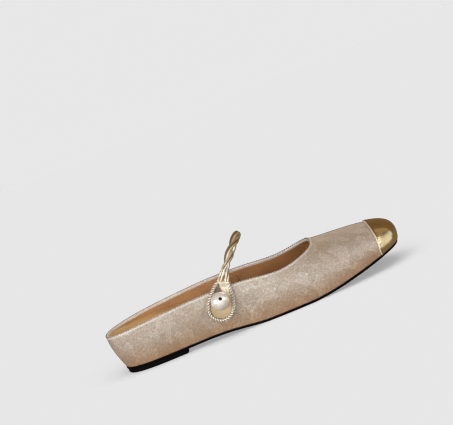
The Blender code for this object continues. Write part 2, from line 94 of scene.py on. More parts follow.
STRAP = [
    ("tab_top", 104.1, -36.0, 44.05, 2.00, 1.50),
    ("rise_out", 108.8, -33.4, 50.6, 1.65, 1.55),
    ("shoulder_out", 114.8, -25.6, 57.6, 1.50, 1.62),
    ("over_out", 121.8, -12.8, 63.6, 1.45, 1.70),
    ("crown", 127.4, 2.0, 67.4, 1.40, 1.75),
    ("over_in", 125.4, 16.6, 63.0, 1.40, 1.75),
    ("shoulder_in", 118.9, 25.8, 54.6, 1.35, 1.65),
    ("rise_in", 111.6, 29.4, 45.2, 1.30, 1.50),
    ("tuck_in", 107.6, 30.0, 37.4, 1.25, 1.30),
    ("sewn_end", 106.0, 29.4, 30.6, 1.25, 1.20),
]
STRAP_TURNS = 2.83
STRAP_START = 1.3
STRAP_BACK = (112.0, 0.0, 26.0)
PEARL_D = 14.8
PEARL_DEPTH = 12.0
PEARL_HOLE = 2.6
TAB_MIDDLE = (96.8, 30.2)
PEARL_BACK = 0.8
TAB_LEAN = 26.0
TAB_T = 1.4
RIM_R = 1.15
TAB_OUTLINE = [
    (-17.8, 0.0), (-17.0, 4.0), (-14.5, 7.6), (-10.4, 10.1), (-5.2, 11.0), (0.6, 10.4), (6.2, 8.9), (11.0, 6.9), (14.6, 5.4),
]


# ------------------------------------------------------------------ curves and the last, as in the part
def closed_spline(values, at):
    values = np.asarray(values, float)
    n = len(values)
    system = np.zeros((n, n))
    for i in range(n):
        system[i, i], system[i, i - 1], system[i, (i + 1) % n] = 4.0, 1.0, 1.0
    slope = np.linalg.solve(system, 3.0 * (np.roll(values, -1, 0) - np.roll(values, 1, 0)))
    at = np.asarray(at, float) % n
    i = np.floor(at).astype(int) % n
    f = (at - np.floor(at)).reshape(at.shape + (1,) * (values.ndim - 1))
    j = (i + 1) % n
    return (
        values[i] * (1 + 2 * f) * (1 - f) ** 2
        + slope[i] * f * (1 - f) ** 2
        + values[j] * f**2 * (3 - 2 * f)
        - slope[j] * f**2 * (1 - f)
    )


def profile(rows, x):
    xs, zs = np.array(rows, float).T
    step = np.diff(zs) / np.diff(xs)
    slope = np.zeros(len(xs))
    same = step[:-1] * step[1:] > 0
    slope[1:-1][same] = 2.0 / (1.0 / step[:-1][same] + 1.0 / step[1:][same])
    slope[0], slope[-1] = step[0], step[-1]
    x = np.clip(np.asarray(x, float), xs[0], xs[-1])
    i = np.clip(np.searchsorted(xs, x, side="right") - 1, 0, len(xs) - 2)
    h = xs[i + 1] - xs[i]
    f = (x - xs[i]) / h
    return (
        zs[i] * (1 + 2 * f) * (1 - f) ** 2
        + slope[i] * h * f * (1 - f) ** 2
        + zs[i + 1] * f**2 * (3 - 2 * f)
        - slope[i + 1] * h * f**2 * (1 - f)
    )


def open_spline(rows, at):
    rows = np.asarray(rows, float)
    n = len(rows)
    place = np.asarray(at, float) * (n - 1)
    i = np.clip(np.floor(place).astype(int), 0, n - 2)
    f = (place - i)[:, None]
    first = np.vstack([2 * rows[0] - rows[1], rows, 2 * rows[-1] - rows[-2]])
    a, b, c, d = first[i], first[i + 1], first[i + 2], first[i + 3]
    return b + 0.5 * f * (c - a + f * (2 * a - 5 * b + 4 * c - d + f * (3 * (b - c) + d - a)))


def section(s):
    table = np.array([row[1:] for row in SECTIONS], float)
    got = closed_spline(table, s)
    return {name: got[..., k] for k, name in enumerate(SECTION_COLUMNS)}


def feather(s):
    c = section(s)
    x, y = c["foot_x"] * LENGTH, c["foot_y"] * BALL_WIDTH / 2
    return np.stack([x, y, profile(SOLE_PROFILE, x) + OUTSOLE_T + GAP], axis=-1)


def last(s, t):
    s, t = np.broadcast_arrays(np.asarray(s, float), np.asarray(t, float))
    c = section(s)
    a = feather(s)
    b = np.stack([c["top_x"] * LENGTH, c["top_y"] * BALL_WIDTH / 2, c["top_z"] * THROAT_HEIGHT], axis=-1)
    along = feather(s + 0.02) - feather(s - 0.02)
    out = np.stack([along[..., 1], -along[..., 0], 0 * along[..., 0]], axis=-1)
    out *= np.sign(out[..., :1] * (a[..., :1] - LENGTH / 2) + out[..., 1:2] * a[..., 1:2])
    out /= np.linalg.norm(out, axis=-1, keepdims=True)
    reach = (a - b) * [1, 1, 0] + 10.0 * out
    reach /= np.linalg.norm(reach, axis=-1, keepdims=True)
    up = np.array([0.0, 0.0, 1.0])
    pitch = np.radians(c["pitch"])[..., None]
    p1 = a + c["rise"][..., None] * (up + c["lean"][..., None] * out)
    p2 = b + c["roof"][..., None] * (reach * np.cos(pitch) - up * np.sin(pitch))
    t = t[..., None]
    return a * (1 - t) ** 3 + 3 * p1 * t * (1 - t) ** 2 + 3 * p2 * t**2 * (1 - t) + b * t**3


def outward(s, t):
    s, t = np.broadcast_arrays(np.asarray(s, float), np.asarray(t, float))
    low, high = np.clip(t - 0.01, 0, 1), np.clip(t + 0.01, 0, 1)
    n = np.cross(last(s + 0.02, t) - last(s - 0.02, t), last(s, high) - last(s, low))
    n /= np.linalg.norm(n, axis=-1, keepdims=True)
    inside = np.array([LENGTH / 2, 0.0, 20.0])
    return n * np.sign(np.sum(n * (last(s, t) - inside), axis=-1, keepdims=True))


def shell(s, t, offset):
    return last(s, t) + offset * outward(s, t)


def where(s, reached, low=0.0, high=1.0):
    low, high = np.full(np.shape(s), low), np.full(np.shape(s), high)
    for _ in range(26):
        middle = (low + high) / 2
        done = reached(s, middle)
        low, high = np.where(done, low, middle), np.where(done, middle, high)
    return (low + high) / 2


def behind_seam(p, by=0.0):
    low = profile(SOLE_PROFILE, CAP_SEAM) + OUTSOLE_T
    share = np.clip((p[..., 2] - low) / (THROAT_HEIGHT - 3.0 - low), 0, 1)
    return p[..., 0] < CAP_SEAM - by + CAP_BOW * np.sin(math.pi * share)


WALL_S = np.linspace(2.0, 6.0, 241)
_grid_x, _grid_z = np.linspace(76.0, 116.0, 33), np.linspace(8.0, 50.0, 64)


def wall_table():
    """y of the outer wall's face over a grid of x and height, carried straight on above the topline."""
    s = np.repeat(WALL_S[:, None], len(_grid_z), 1)
    t = where(s, lambda a, b: last(a, b)[..., 2] > _grid_z[None, :])
    points = last(s, np.minimum(t, 0.999))
    return np.stack([np.interp(_grid_x, points[:, k, 0], points[:, k, 1]) for k in range(len(_grid_z))], axis=1)


_grid_y = wall_table()


def quick_wall_y(x, z):
    """y of the outer wall's face, between the table's points."""
    i = np.clip((x - _grid_x[0]) / (_grid_x[1] - _grid_x[0]), 0, len(_grid_x) - 1.001)
    j = np.clip((z - _grid_z[0]) / (_grid_z[1] - _grid_z[0]), 0, len(_grid_z) - 1.001)
    a, b = i.astype(int), j.astype(int)
    f, g = i - a, j - b
    return (
        _grid_y[a, b] * (1 - f) * (1 - g)
        + _grid_y[a + 1, b] * f * (1 - g)
        + _grid_y[a, b + 1] * (1 - f) * g
        + _grid_y[a + 1, b + 1] * f * g
    )


def tab_point(up, over, height):
    lean = math.radians(TAB_LEAN)
    up, over, height = np.broadcast_arrays(*(np.asarray(v, float) for v in (up, over, height)))
    x = TAB_MIDDLE[0] + up * math.sin(lean) + over * math.cos(lean)
    z = TAB_MIDDLE[1] + up * math.cos(lean) - over * math.sin(lean)
    return np.stack([x, quick_wall_y(x, z) - height, z], axis=-1)


def tab_loop(count, inset=0.0):
    rows = np.array(TAB_OUTLINE, float)
    one = open_spline(rows, np.linspace(0, 1, count))
    loop = np.vstack([one, one[1:][::-1] * [1, -1]])
    middle = np.array([-1.5, 0.0])
    step = np.roll(loop, -1, 0) - np.roll(loop, 1, 0)
    normal = np.stack([step[:, 1], -step[:, 0]], axis=1)
    normal /= np.linalg.norm(normal, axis=1, keepdims=True)
    normal *= np.sign(np.sum(normal * (loop - middle), axis=1))[:, None]
    return loop - inset * normal


# ------------------------------------------------------------------ mesh helpers
def add_piece(name, verts, faces, materials, face_material=None, uv=None, attributes=None, sharp=None, uv_end=None):
    """A piece from points in mm, in the part's layout. uv_end: cloth places of the first row, where the last faces close the ring."""
    mesh = bpy.data.meshes.new(name)
    mesh.from_pydata(((np.asarray(verts) - ORIGIN) * MM).tolist(), [], [list(map(int, f)) for f in faces])
    for m in materials:
        mesh.materials.append(m)
    if face_material is not None:
        mesh.polygons.foreach_set("material_index", np.asarray(face_material, np.int32))
    if uv is not None:
        layer = mesh.uv_layers.new(name="cloth")
        loops = np.zeros(len(mesh.loops), np.int32)
        mesh.loops.foreach_get("vertex_index", loops)
        places = np.asarray(uv, np.float32)[loops]
        if uv_end is not None:
            closing = np.arange(len(loops)) >= len(loops) - 4 * len(uv_end)
            closing &= loops < len(uv_end)
            places[closing] = np.asarray(uv_end, np.float32)[loops[closing]]
        layer.data.foreach_set("uv", places.ravel())
    for key, values in (attributes or {}).items():
        layer = mesh.attributes.new(key, "FLOAT", "POINT")
        layer.data.foreach_set("value", np.asarray(values, np.float32))
    bm = bmesh.new()
    bm.from_mesh(mesh)
    bmesh.ops.recalc_face_normals(bm, faces=bm.faces)
    if all(e.is_manifold for e in bm.edges) and bm.calc_volume(signed=True) < 0:
        bmesh.ops.reverse_faces(bm, faces=bm.faces)
    bm.to_mesh(mesh)
    bm.free()
    mesh.shade_smooth()
    if sharp is not None:
        mesh.set_sharp_from_angle(angle=math.radians(sharp))
    obj = bpy.data.objects.new(name, mesh)
    bpy.context.scene.collection.objects.link(obj)
    return obj


def grid_faces(n, m, wrap_n=False, wrap_m=False, start=0):
    """Quads of an n by m grid of points laid out row by row."""
    i = np.arange(n if wrap_n else n - 1)
    j = np.arange(m if wrap_m else m - 1)
    i, j = np.meshgrid(i, j, indexing="ij")
    a, b = i * m + j, i * m + (j + 1) % m
    c, d = ((i + 1) % n) * m + (j + 1) % m, ((i + 1) % n) * m + j
    return (np.stack([a, b, c, d], axis=-1).reshape(-1, 4) + start).tolist()


def frames(path, cyclic=False, hint=(0, 0, 1)):
    """Directions along a path and two across it that don't spin."""
    path = np.asarray(path, float)
    if cyclic:
        along = np.roll(path, -1, 0) - np.roll(path, 1, 0)
    else:
        along = np.gradient(path, axis=0)
    along /= np.linalg.norm(along, axis=1, keepdims=True)
    side = np.zeros_like(path)
    v = np.array(hint, float)
    for k in range(len(path)):
        v = v - np.dot(v, along[k]) * along[k]
        v /= np.linalg.norm(v)
        side[k] = v
    return along, side, np.cross(along, side)


def tube_mesh(path, radius, sides=10, cyclic=False, hint=(0, 0, 1), oval=None, start=0):
    """Points and faces of a cord. oval gives (side, other) half widths in place of a round radius."""
    path = np.asarray(path, float)
    _, side, other = frames(path, cyclic, hint)
    a = np.linspace(0, 2 * math.pi, sides, endpoint=False)
    ra, rb = (radius, radius) if oval is None else oval
    ra, rb = np.broadcast_to(ra, len(path)), np.broadcast_to(rb, len(path))
    rings = (
        path[:, None, :]
        + (ra[:, None] * np.cos(a))[..., None] * side[:, None, :]
        + (rb[:, None] * np.sin(a))[..., None] * other[:, None, :]
    )
    n = len(path)
    verts = rings.reshape(-1, 3)
    faces = grid_faces(n, sides, wrap_n=cyclic, wrap_m=True, start=start)
    if not cyclic:
        faces.append([start + k for k in range(sides)])
        faces.append([start + (n - 1) * sides + k for k in range(sides)][::-1])
    return verts, faces


def even_path(points, spacing=None, count=None, cyclic=False):
    points = np.asarray(points, float)
    if cyclic:
        points = np.vstack([points, points[:1]])
    run = np.concatenate([[0], np.cumsum(np.linalg.norm(np.diff(points, axis=0), axis=1))])
    n = count or max(2, int(round(run[-1] / spacing)))
    at = np.linspace(0, run[-1], n, endpoint=not cyclic)
    return np.stack([np.interp(at, run, c) for c in points.T], axis=1), run[-1]


def stitches(path, normal, length, radius, sink=0.25, slant=0.0):
    """A row of sewn stitches, one at each point of path, along it, standing on a surface with these normals."""
    path, normal = np.asarray(path, float), np.asarray(normal, float)
    along = np.gradient(path, axis=0)
    along /= np.linalg.norm(along, axis=1, keepdims=True)
    normal = normal - np.sum(normal * along, axis=1, keepdims=True) * along
    normal /= np.linalg.norm(normal, axis=1, keepdims=True)
    across = np.cross(along, normal)
    if slant:
        along = along * math.cos(slant) + across * math.sin(slant)
        across = np.cross(along, normal)
    rings, sides = 7, 6
    u = np.linspace(-1, 1, rings)
    fat = np.sqrt(np.maximum(0.0, 1 - np.abs(u) ** 3)) * 0.98 + 0.02
    drop = -0.9 * np.abs(u) ** 3
    a = np.linspace(0, 2 * math.pi, sides, endpoint=False)
    verts, faces = [], []
    for p, d, n, w in zip(path, along, normal, across):
        base = len(verts)
        for k in range(rings):
            middle = p + d * (length / 2 * u[k]) + n * radius * (1 - sink + drop[k])
            for b in a:
                verts.append(middle + radius * fat[k] * (w * math.cos(b) + n * math.sin(b)))
        faces += grid_faces(rings, sides, wrap_m=True, start=base)
        faces.append([base + k for k in range(sides)])
        faces.append([base + (rings - 1) * sides + k for k in range(sides)][::-1])
    return np.array(verts), faces


def merge(*parts):
    verts, faces, at = [], [], 0
    for v, f in parts:
        verts.append(np.asarray(v))
        faces += [[i + at for i in face] for face in f]
        at += len(v)
    return np.vstack(verts), faces


def closed_patch(n, m):
    """Faces of a thin patch whose upper grid of n by m points is followed by its lower one."""
    faces = grid_faces(n, m) + [f[::-1] for f in grid_faces(n, m, start=n * m)]
    for i in range(n - 1):
        for j in (0, m - 1):
            a, b = i * m + j, (i + 1) * m + j
            faces.append([a, b, b + n * m, a + n * m])
    for j in range(m - 1):
        for i in (0, n - 1):
            a, b = i * m + j, i * m + j + 1
            faces.append([a, b, b + n * m, a + n * m])
    return faces


def ladder_faces(ring_start, n, verts, across, height):
    """Closes a ring of n points with rungs between its two halves. Returns new points and faces."""
    ring = list(range(ring_start, ring_start + n))
    new, faces, rows = [], [], []
    base = len(verts)
    for i in range(n // 2 + 1):
        a, b = ring[i], ring[-i % n]
        if a == b:
            rows.append([a])
            continue
        row = [a]
        for k in range(1, across):
            share = k / across
            p = verts[a] * (1 - share) + verts[b] * share
            if height is not None:
                p = np.array([p[0], p[1], height(p[0], share)])
            new.append(p)
            row.append(base + len(new) - 1)
        rows.append([*row, b])
    for p, q in zip(rows, rows[1:]):
        if len(p) == 1:
            faces += [[p[0], q[k], q[k + 1]] for k in range(len(q) - 1)]
        elif len(q) == 1:
            faces += [[p[k], q[0], p[k + 1]] for k in range(len(p) - 1)]
        else:
            faces += [[p[k], q[k], q[k + 1], p[k + 1]] for k in range(len(p) - 1)]
    return new, faces


# ------------------------------------------------------------------ materials
def srgb(r, g, b):
    def one(c):
        c /= 255.0
        return c / 12.92 if c <= 0.04045 else ((c + 0.055) / 1.055) ** 2.4

    return (one(r), one(g), one(b), 1.0)


class Paint:
    """A material with short ways to add nodes."""

    def __init__(self, name, base, roughness, metallic=0.0, **more):
        self.m = bpy.data.materials.new(name)
        self.m.use_nodes = True
        self.t = self.m.node_tree
        self.s = self.t.nodes["Principled BSDF"]
        self.s.inputs["Base Color"].default_value = base
        self.s.inputs["Roughness"].default_value = roughness
        self.s.inputs["Metallic"].default_value = metallic
        for key, value in more.items():
            self.s.inputs[key.replace("_", " ")].default_value = value

    def node(self, kind, **values):
        n = self.t.nodes.new(kind)
        for key, value in values.items():
            setattr(n, key, value)
        return n

    def link(self, a, b):
        self.t.links.new(a, b)

    def set(self, socket, value):
        if hasattr(value, "is_output"):
            self.link(value, socket)
        else:
            socket.default_value = value

    def coords(self, kind="Object"):
        if kind == "cloth":
            n = self.node("ShaderNodeUVMap")
            n.uv_map = "cloth"
            return n.outputs["UV"]
        return self.node("ShaderNodeTexCoord").outputs[kind]

    def scaled(self, vector, scale):
        n = self.node("ShaderNodeMapping")
        self.set(n.inputs["Vector"], vector)
        n.inputs["Scale"].default_value = scale
        return n.outputs["Vector"]

    def attribute(self, name):
        return self.node("ShaderNodeAttribute", attribute_name=name).outputs["Fac"]

    def noise(self, vector, scale, detail=2.0, rough=0.5, distortion=0.0, out="Fac"):
        n = self.node("ShaderNodeTexNoise")
        self.set(n.inputs["Vector"], vector)
        n.inputs["Scale"].default_value = scale
        n.inputs["Detail"].default_value = detail
        n.inputs["Roughness"].default_value = rough
        n.inputs["Distortion"].default_value = distortion
        return n.outputs[out]

    def voronoi(self, vector, scale, out="Distance", feature="F1", randomness=1.0):
        n = self.node("ShaderNodeTexVoronoi", feature=feature)
        self.set(n.inputs["Vector"], vector)
        n.inputs["Scale"].default_value = scale
        n.inputs["Randomness"].default_value = randomness
        return n.outputs[out]

    def math(self, op, a, b=0.0, clamp=False):
        n = self.node("ShaderNodeMath", operation=op, use_clamp=clamp)
        self.set(n.inputs[0], a)
        self.set(n.inputs[1], b)
        return n.outputs[0]

    def vmath(self, op, a, b=(0, 0, 0)):
        n = self.node("ShaderNodeVectorMath", operation=op)
        self.set(n.inputs[0], a)
        self.set(n.inputs[1], b)
        return n.outputs[0]

    def ramp(self, value, low, high, to_low=0.0, to_high=1.0, smooth=True):
        n = self.node("ShaderNodeMapRange", interpolation_type="SMOOTHSTEP" if smooth else "LINEAR")
        self.set(n.inputs["Value"], value)
        n.inputs["From Min"].default_value = low
        n.inputs["From Max"].default_value = high
        n.inputs["To Min"].default_value = to_low
        n.inputs["To Max"].default_value = to_high
        return n.outputs["Result"]

    def mix(self, factor, a, b, blend="MIX"):
        n = self.node("ShaderNodeMix", data_type="RGBA", blend_type=blend)
        self.set(n.inputs["Factor"], factor)
        self.set(n.inputs[6], a)
        self.set(n.inputs[7], b)
        return n.outputs[2]

    def grey(self, value):
        n = self.node("ShaderNodeCombineColor")
        for k in range(3):
            self.link(value, n.inputs[k])
        return n.outputs[0]

    def colour(self, value):
        self.link(value, self.s.inputs["Base Color"])

    def roughness(self, value):
        self.link(value, self.s.inputs["Roughness"])

    def bump(self, height, strength, distance):
        n = self.node("ShaderNodeBump")
        n.inputs["Strength"].default_value = strength
        n.inputs["Distance"].default_value = distance
        self.link(height, n.inputs["Height"])
        self.link(n.outputs["Normal"], self.s.inputs["Normal"])


def brocade_material(name, figure=1.0, lift=0.0):
    """Champagne jacquard: cloud scrolls a shade lighter than the ground, with fine lines in them and a soft silk shine."""
    p = Paint(name, srgb(178, 160, 142), 0.5, 0.0, Sheen_Weight=0.18, Sheen_Roughness=0.35, Coat_Weight=0.55, Coat_Roughness=0.34)
    p.s.inputs["Sheen Tint"].default_value = srgb(250, 248, 246)
    p.s.inputs["Specular IOR Level"].default_value = 0.7
    uv = p.coords("cloth")  # centimetres along the shoe and up its side
    # cloud scrolls: level lines of a gently turned field
    turn = p.vmath("SCALE", p.vmath("SUBTRACT", p.noise(uv, 1.1, 1.0, 0.4, out="Color"), (0.5, 0.5, 0.5)))
    turn.node.inputs["Scale"].default_value = 0.9
    swirl = p.vmath("ADD", uv, turn)
    field = p.noise(swirl, 0.95, 1.0, 0.35)
    cloud = p.ramp(field, 0.505, 0.54)
    edge = p.ramp(p.math("ABSOLUTE", p.math("SUBTRACT", field, 0.515)), 0.026, 0.010)
    # fine winding lines a millimetre or so apart inside the scrolls, and fainter on the ground
    fret = p.noise(swirl, 3.4, 1.0, 0.5)
    lines = p.ramp(p.math("ABSOLUTE", p.math("SINE", p.math("MULTIPLY", fret, 20.0))), 0.55, 0.15)
    worn = p.ramp(p.noise(uv, 0.55, 2.0), 0.36, 0.62, 0.35, 1.0)
    shape = p.math("MAXIMUM", p.math("MULTIPLY", cloud, 0.42), p.math("MULTIPLY", edge, 0.85))
    shape = p.math("ADD", p.math("MULTIPLY", shape, worn), p.math("MULTIPLY", lines, p.ramp(cloud, 0.0, 1.0, 0.12, 0.34)))
    shape = p.math("MULTIPLY", shape, figure, clamp=True)
    # threads: warp and weft with uneven slubs, crossing
    warp = p.noise(p.scaled(uv, (4.2, 16.0, 1.0)), 1.0, 2.0, 0.65)
    weft = p.noise(p.scaled(uv, (16.0, 4.2, 1.0)), 1.0, 2.0, 0.65)
    grain = p.noise(uv, 11.0, 3.0, 0.8)
    threads = p.math("ADD", p.math("MULTIPLY", warp, 0.5), p.math("MULTIPLY", weft, 0.5))
    base = p.mix(p.ramp(threads, 0.38, 0.62), srgb(142, 127, 111), srgb(178, 165, 151))
    silk = p.mix(p.ramp(threads, 0.38, 0.62), srgb(186, 177, 167), srgb(222, 218, 213))
    # lift paints the cloth towards its lighter silk tone; on the topline binding this is a painted highlight of the
    # rolled edge
    cloth = p.mix(p.math("ADD", p.math("MULTIPLY", shape, 0.55 - 0.4 * lift), lift), base, silk)
    picks = p.noise(uv, 6.0, 2.0, 0.7)
    speck = p.math("MULTIPLY", p.ramp(grain, 0.34, 0.66, 0.80, 1.18), p.ramp(picks, 0.36, 0.64, 0.86, 1.12))
    cloth = p.mix(1.0, cloth, p.grey(speck), "MULTIPLY")
    # warmer in slow patches; and darker and warmer towards the sole, broken up by noise: painted shade low on the wall
    cloth = p.mix(p.ramp(p.noise(uv, 0.35, 3.0, 0.55), 0.38, 0.7, 0.0, 0.3), cloth, srgb(162, 140, 114))
    low = p.math("ADD", p.attribute("above_sole"), p.math("MULTIPLY", p.noise(uv, 1.3, 4.0, 0.6), 9.0))
    painted_sole_shade = p.mix(p.ramp(low, 25.0, 1.0), (1.0, 1.0, 1.0, 1.0), (0.83, 0.60, 0.39, 1.0))
    cloth = p.mix(1.0, cloth, painted_sole_shade, "MULTIPLY")
    p.colour(cloth)
    p.roughness(p.ramp(p.math("ADD", shape, p.math("MULTIPLY", threads, 0.3)), 0.0, 1.2, 0.56, 0.36, smooth=False))
    height = p.math("ADD", p.math("MULTIPLY", shape, 0.45), p.math("ADD", p.math("MULTIPLY", threads, 0.45), p.math("MULTIPLY", grain, 0.4)))
    p.bump(height, 0.6, 0.00025)
    return p.m


def leather_material(name, light, dark, roughness, metallic, grain=900.0, depth=0.00012, groove=None, crown=None, **more):
    p = Paint(name, light, roughness, metallic, **more)
    at = p.coords()
    cells = p.voronoi(at, grain, "Distance", "SMOOTH_F1")
    fine = p.noise(at, grain * 2.2, 3.0, 0.6)
    patches = p.noise(at, 45.0, 4.0, 0.6)
    colour = p.mix(p.ramp(p.math("ADD", p.math("MULTIPLY", cells, 0.35), p.math("MULTIPLY", patches, 0.75)), 0.35, 0.8), light, dark)
    painted_edge_highlight = srgb(254, 250, 241)
    if crown is not None:
        # painted shade: darker, with a duller edge highlight, over the top of the instep
        split = p.node("ShaderNodeSeparateXYZ")
        p.link(at, split.inputs[0])
        painted_crown_shade = p.ramp(p.math("ADD", split.outputs[2], p.math("MULTIPLY", patches, 0.004)), 0.056, 0.070)
        colour = p.mix(painted_crown_shade, colour, p.mix(1.0, colour, crown, "MULTIPLY"))
        painted_edge_highlight = p.mix(painted_crown_shade, painted_edge_highlight, srgb(222, 206, 168))
    if groove is not None:
        # painted highlight: the strips' edges are painted near-white; painted shade: the sunk middle of each face, the
        # sewn groove, is painted dark
        colour = p.mix(p.ramp(p.attribute("edge"), 0.2, 0.9, 0.0, 0.9), colour, painted_edge_highlight)
        colour = p.mix(p.ramp(p.attribute("relief"), 0.8, 0.3, 0.0, 0.92), colour, groove)
    p.colour(colour)
    p.roughness(p.ramp(p.math("ADD", p.math("MULTIPLY", patches, 0.7), p.math("MULTIPLY", fine, 0.3)), 0.3, 0.7, roughness - 0.07, roughness + 0.09))
    p.bump(p.math("ADD", p.math("MULTIPLY", cells, -0.6), p.math("MULTIPLY", fine, 0.3)), 0.45, depth)
    return p.m


def mirror_gold_material():
    p = Paint("mirror_gold_leather", srgb(222, 206, 164), 0.18, 1.0, Coat_Weight=0.15, Coat_Roughness=0.1)
    at = p.coords()
    fine = p.noise(at, 1500.0, 2.0, 0.6)
    haze = p.noise(at, 110.0, 4.0, 0.6)
    p.colour(p.mix(p.ramp(haze, 0.35, 0.75), srgb(224, 210, 168), srgb(206, 184, 132)))
    p.roughness(p.ramp(haze, 0.3, 0.75, 0.13, 0.22))
    p.bump(p.math("ADD", p.math("MULTIPLY", haze, 0.5), p.math("MULTIPLY", fine, 0.06)), 0.10, 0.0005)
    return p.m


def rubber_material(name, cell):
    p = Paint(name, srgb(10, 10, 10), 0.7, 0.0)
    p.s.inputs["Specular IOR Level"].default_value = 0.06
    at = p.coords()
    dust = p.noise(at, 160.0, 5.0, 0.65)
    fine = p.noise(at, 2200.0, 2.0, 0.6)
    p.colour(p.mix(p.ramp(dust, 0.5, 0.85), srgb(4, 3, 3), srgb(16, 14, 13)))
    p.roughness(p.ramp(dust, 0.3, 0.75, 0.62, 0.8))
    p.bump(p.math("ADD", p.math("MULTIPLY", fine, 0.5), p.math("MULTIPLY", p.voronoi(at, cell), 0.5)), 0.35, 0.00015)
    return p.m


def thread_material(name, light, dark, roughness=0.6, metallic=0.0, groove=None):
    p = Paint(name, light, roughness, metallic, Sheen_Weight=0.15)
    at = p.coords()
    fibre = p.noise(at, 1400.0, 3.0, 0.6)
    colour = p.mix(p.ramp(fibre, 0.3, 0.7), dark, light)
    if groove is not None:
        # painted shade: darker where the braid's strands sink towards the rope's middle, between the strands
        colour = p.mix(p.ramp(p.attribute("relief"), 0.93, 0.72, 0.0, 0.95), colour, groove)
    p.colour(colour)
    p.roughness(p.ramp(fibre, 0.3, 0.7, roughness + 0.08, roughness - 0.06))
    p.bump(fibre, 0.4, 0.00008)
    return p.m


def pearl_material():
    p = Paint("pearl", srgb(236, 231, 223), 0.22, 0.40, Coat_Weight=0.7, Coat_Roughness=0.10, Coat_IOR=1.55, Sheen_Weight=0.1)
    p.s.inputs["Coat Tint"].default_value = srgb(255, 248, 244)
    at = p.coords()
    cloud = p.noise(at, 190.0, 3.0, 0.55)
    p.colour(p.mix(p.ramp(cloud, 0.35, 0.7), srgb(246, 248, 248), srgb(234, 233, 229)))
    p.roughness(p.ramp(cloud, 0.3, 0.7, 0.18, 0.26))
    p.bump(p.noise(at, 700.0, 2.0), 0.05, 0.0001)
    return p.m


BROCADE = brocade_material("brocade")
# the binding is painted lighter than the upper: a painted highlight along the rolled topline edge
BINDING = brocade_material("brocade_edge", figure=0.15, lift=0.75)
LINING = leather_material("lining_leather", srgb(170, 124, 80), srgb(132, 92, 56), 0.5, 0.15, grain=1300.0, depth=0.00006)
INSOLE = leather_material("gold_insole_leather", srgb(228, 194, 138), srgb(200, 162, 106), 0.42, 0.45, grain=1000.0, depth=0.0001)
MIRROR = mirror_gold_material()
# pale gold strands: the groove colour is painted shade, the crown colour painted shade over the instep, and the strips'
# edges carry a painted highlight
PALE_GOLD = leather_material(
    "pale_gold_leather", srgb(219, 206, 170), srgb(184, 166, 126), 0.28, 0.64, grain=1500.0, depth=0.00006, groove=srgb(50, 37, 24), crown=(0.62, 0.50, 0.32, 1.0)
)
TAB_GOLD = leather_material("tab_leather", srgb(214, 198, 168), srgb(186, 165, 130), 0.34, 0.7, grain=1400.0, depth=0.00007)
BRAID = thread_material("silver_gold_braid", srgb(242, 238, 230), srgb(202, 190, 170), 0.34, 0.62, groove=srgb(52, 40, 28))
PIPING = thread_material("piping", srgb(246, 238, 216), srgb(226, 210, 176), 0.38, 0.4)
DARK_THREAD = thread_material("dark_thread", srgb(104, 84, 66), srgb(66, 50, 38), 0.7)
EDGE_THREAD = thread_material("edge_thread", srgb(88, 70, 54), srgb(54, 42, 32), 0.7)
RUBBER = rubber_material("black_rubber", 700.0)
HEEL_RUBBER = rubber_material("black_heel_rubber", 500.0)
PEARL = pearl_material()
# dark patch colour: painted shadow in the gap above the pearl
TUCK_SHADOW = leather_material("tuck_painted_shadow", srgb(116, 106, 84), srgb(68, 60, 46), 0.5, 0.3, grain=1400.0, depth=0.00007)
# dark colour for the inside of the pearl's hole: painted shade
HOLE_SHADE = leather_material("pearl_hole_shade", srgb(80, 70, 52), srgb(44, 36, 27), 0.6, 0.1, grain=1400.0, depth=0.00007)

made = []


def ride(obj, slot, *nodes):
    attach(obj, "root")
    if nodes:
        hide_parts(*nodes)
    made.append(obj)
    return obj


# ------------------------------------------------------------------ upper
def wobble(s, t):
    """Slight unevenness of the lasted cloth, mm."""
    return 0.07 * (
        np.sin(2.1 * s + 5.0 * t) + 0.8 * np.sin(5.3 * s - 7.0 * t + 1.0) + 0.5 * np.sin(11.7 * s + 3.0 * t + 2.0) * (1 - t)
    )


def half_width(x):
    s = np.linspace(0.02, TOE - 0.02, 300)
    f = feather(s)
    return np.interp(x, f[:, 0], -f[:, 1])


def topline(s):
    """Where the wall's straight part ends below the rolled edge, and its length in mm per step of t there."""
    run = np.linalg.norm(last(s, np.full(len(s), 1.0)) - last(s, np.full(len(s), 0.95)), axis=1) / 0.05
    return 1 - 1.0 / run, run


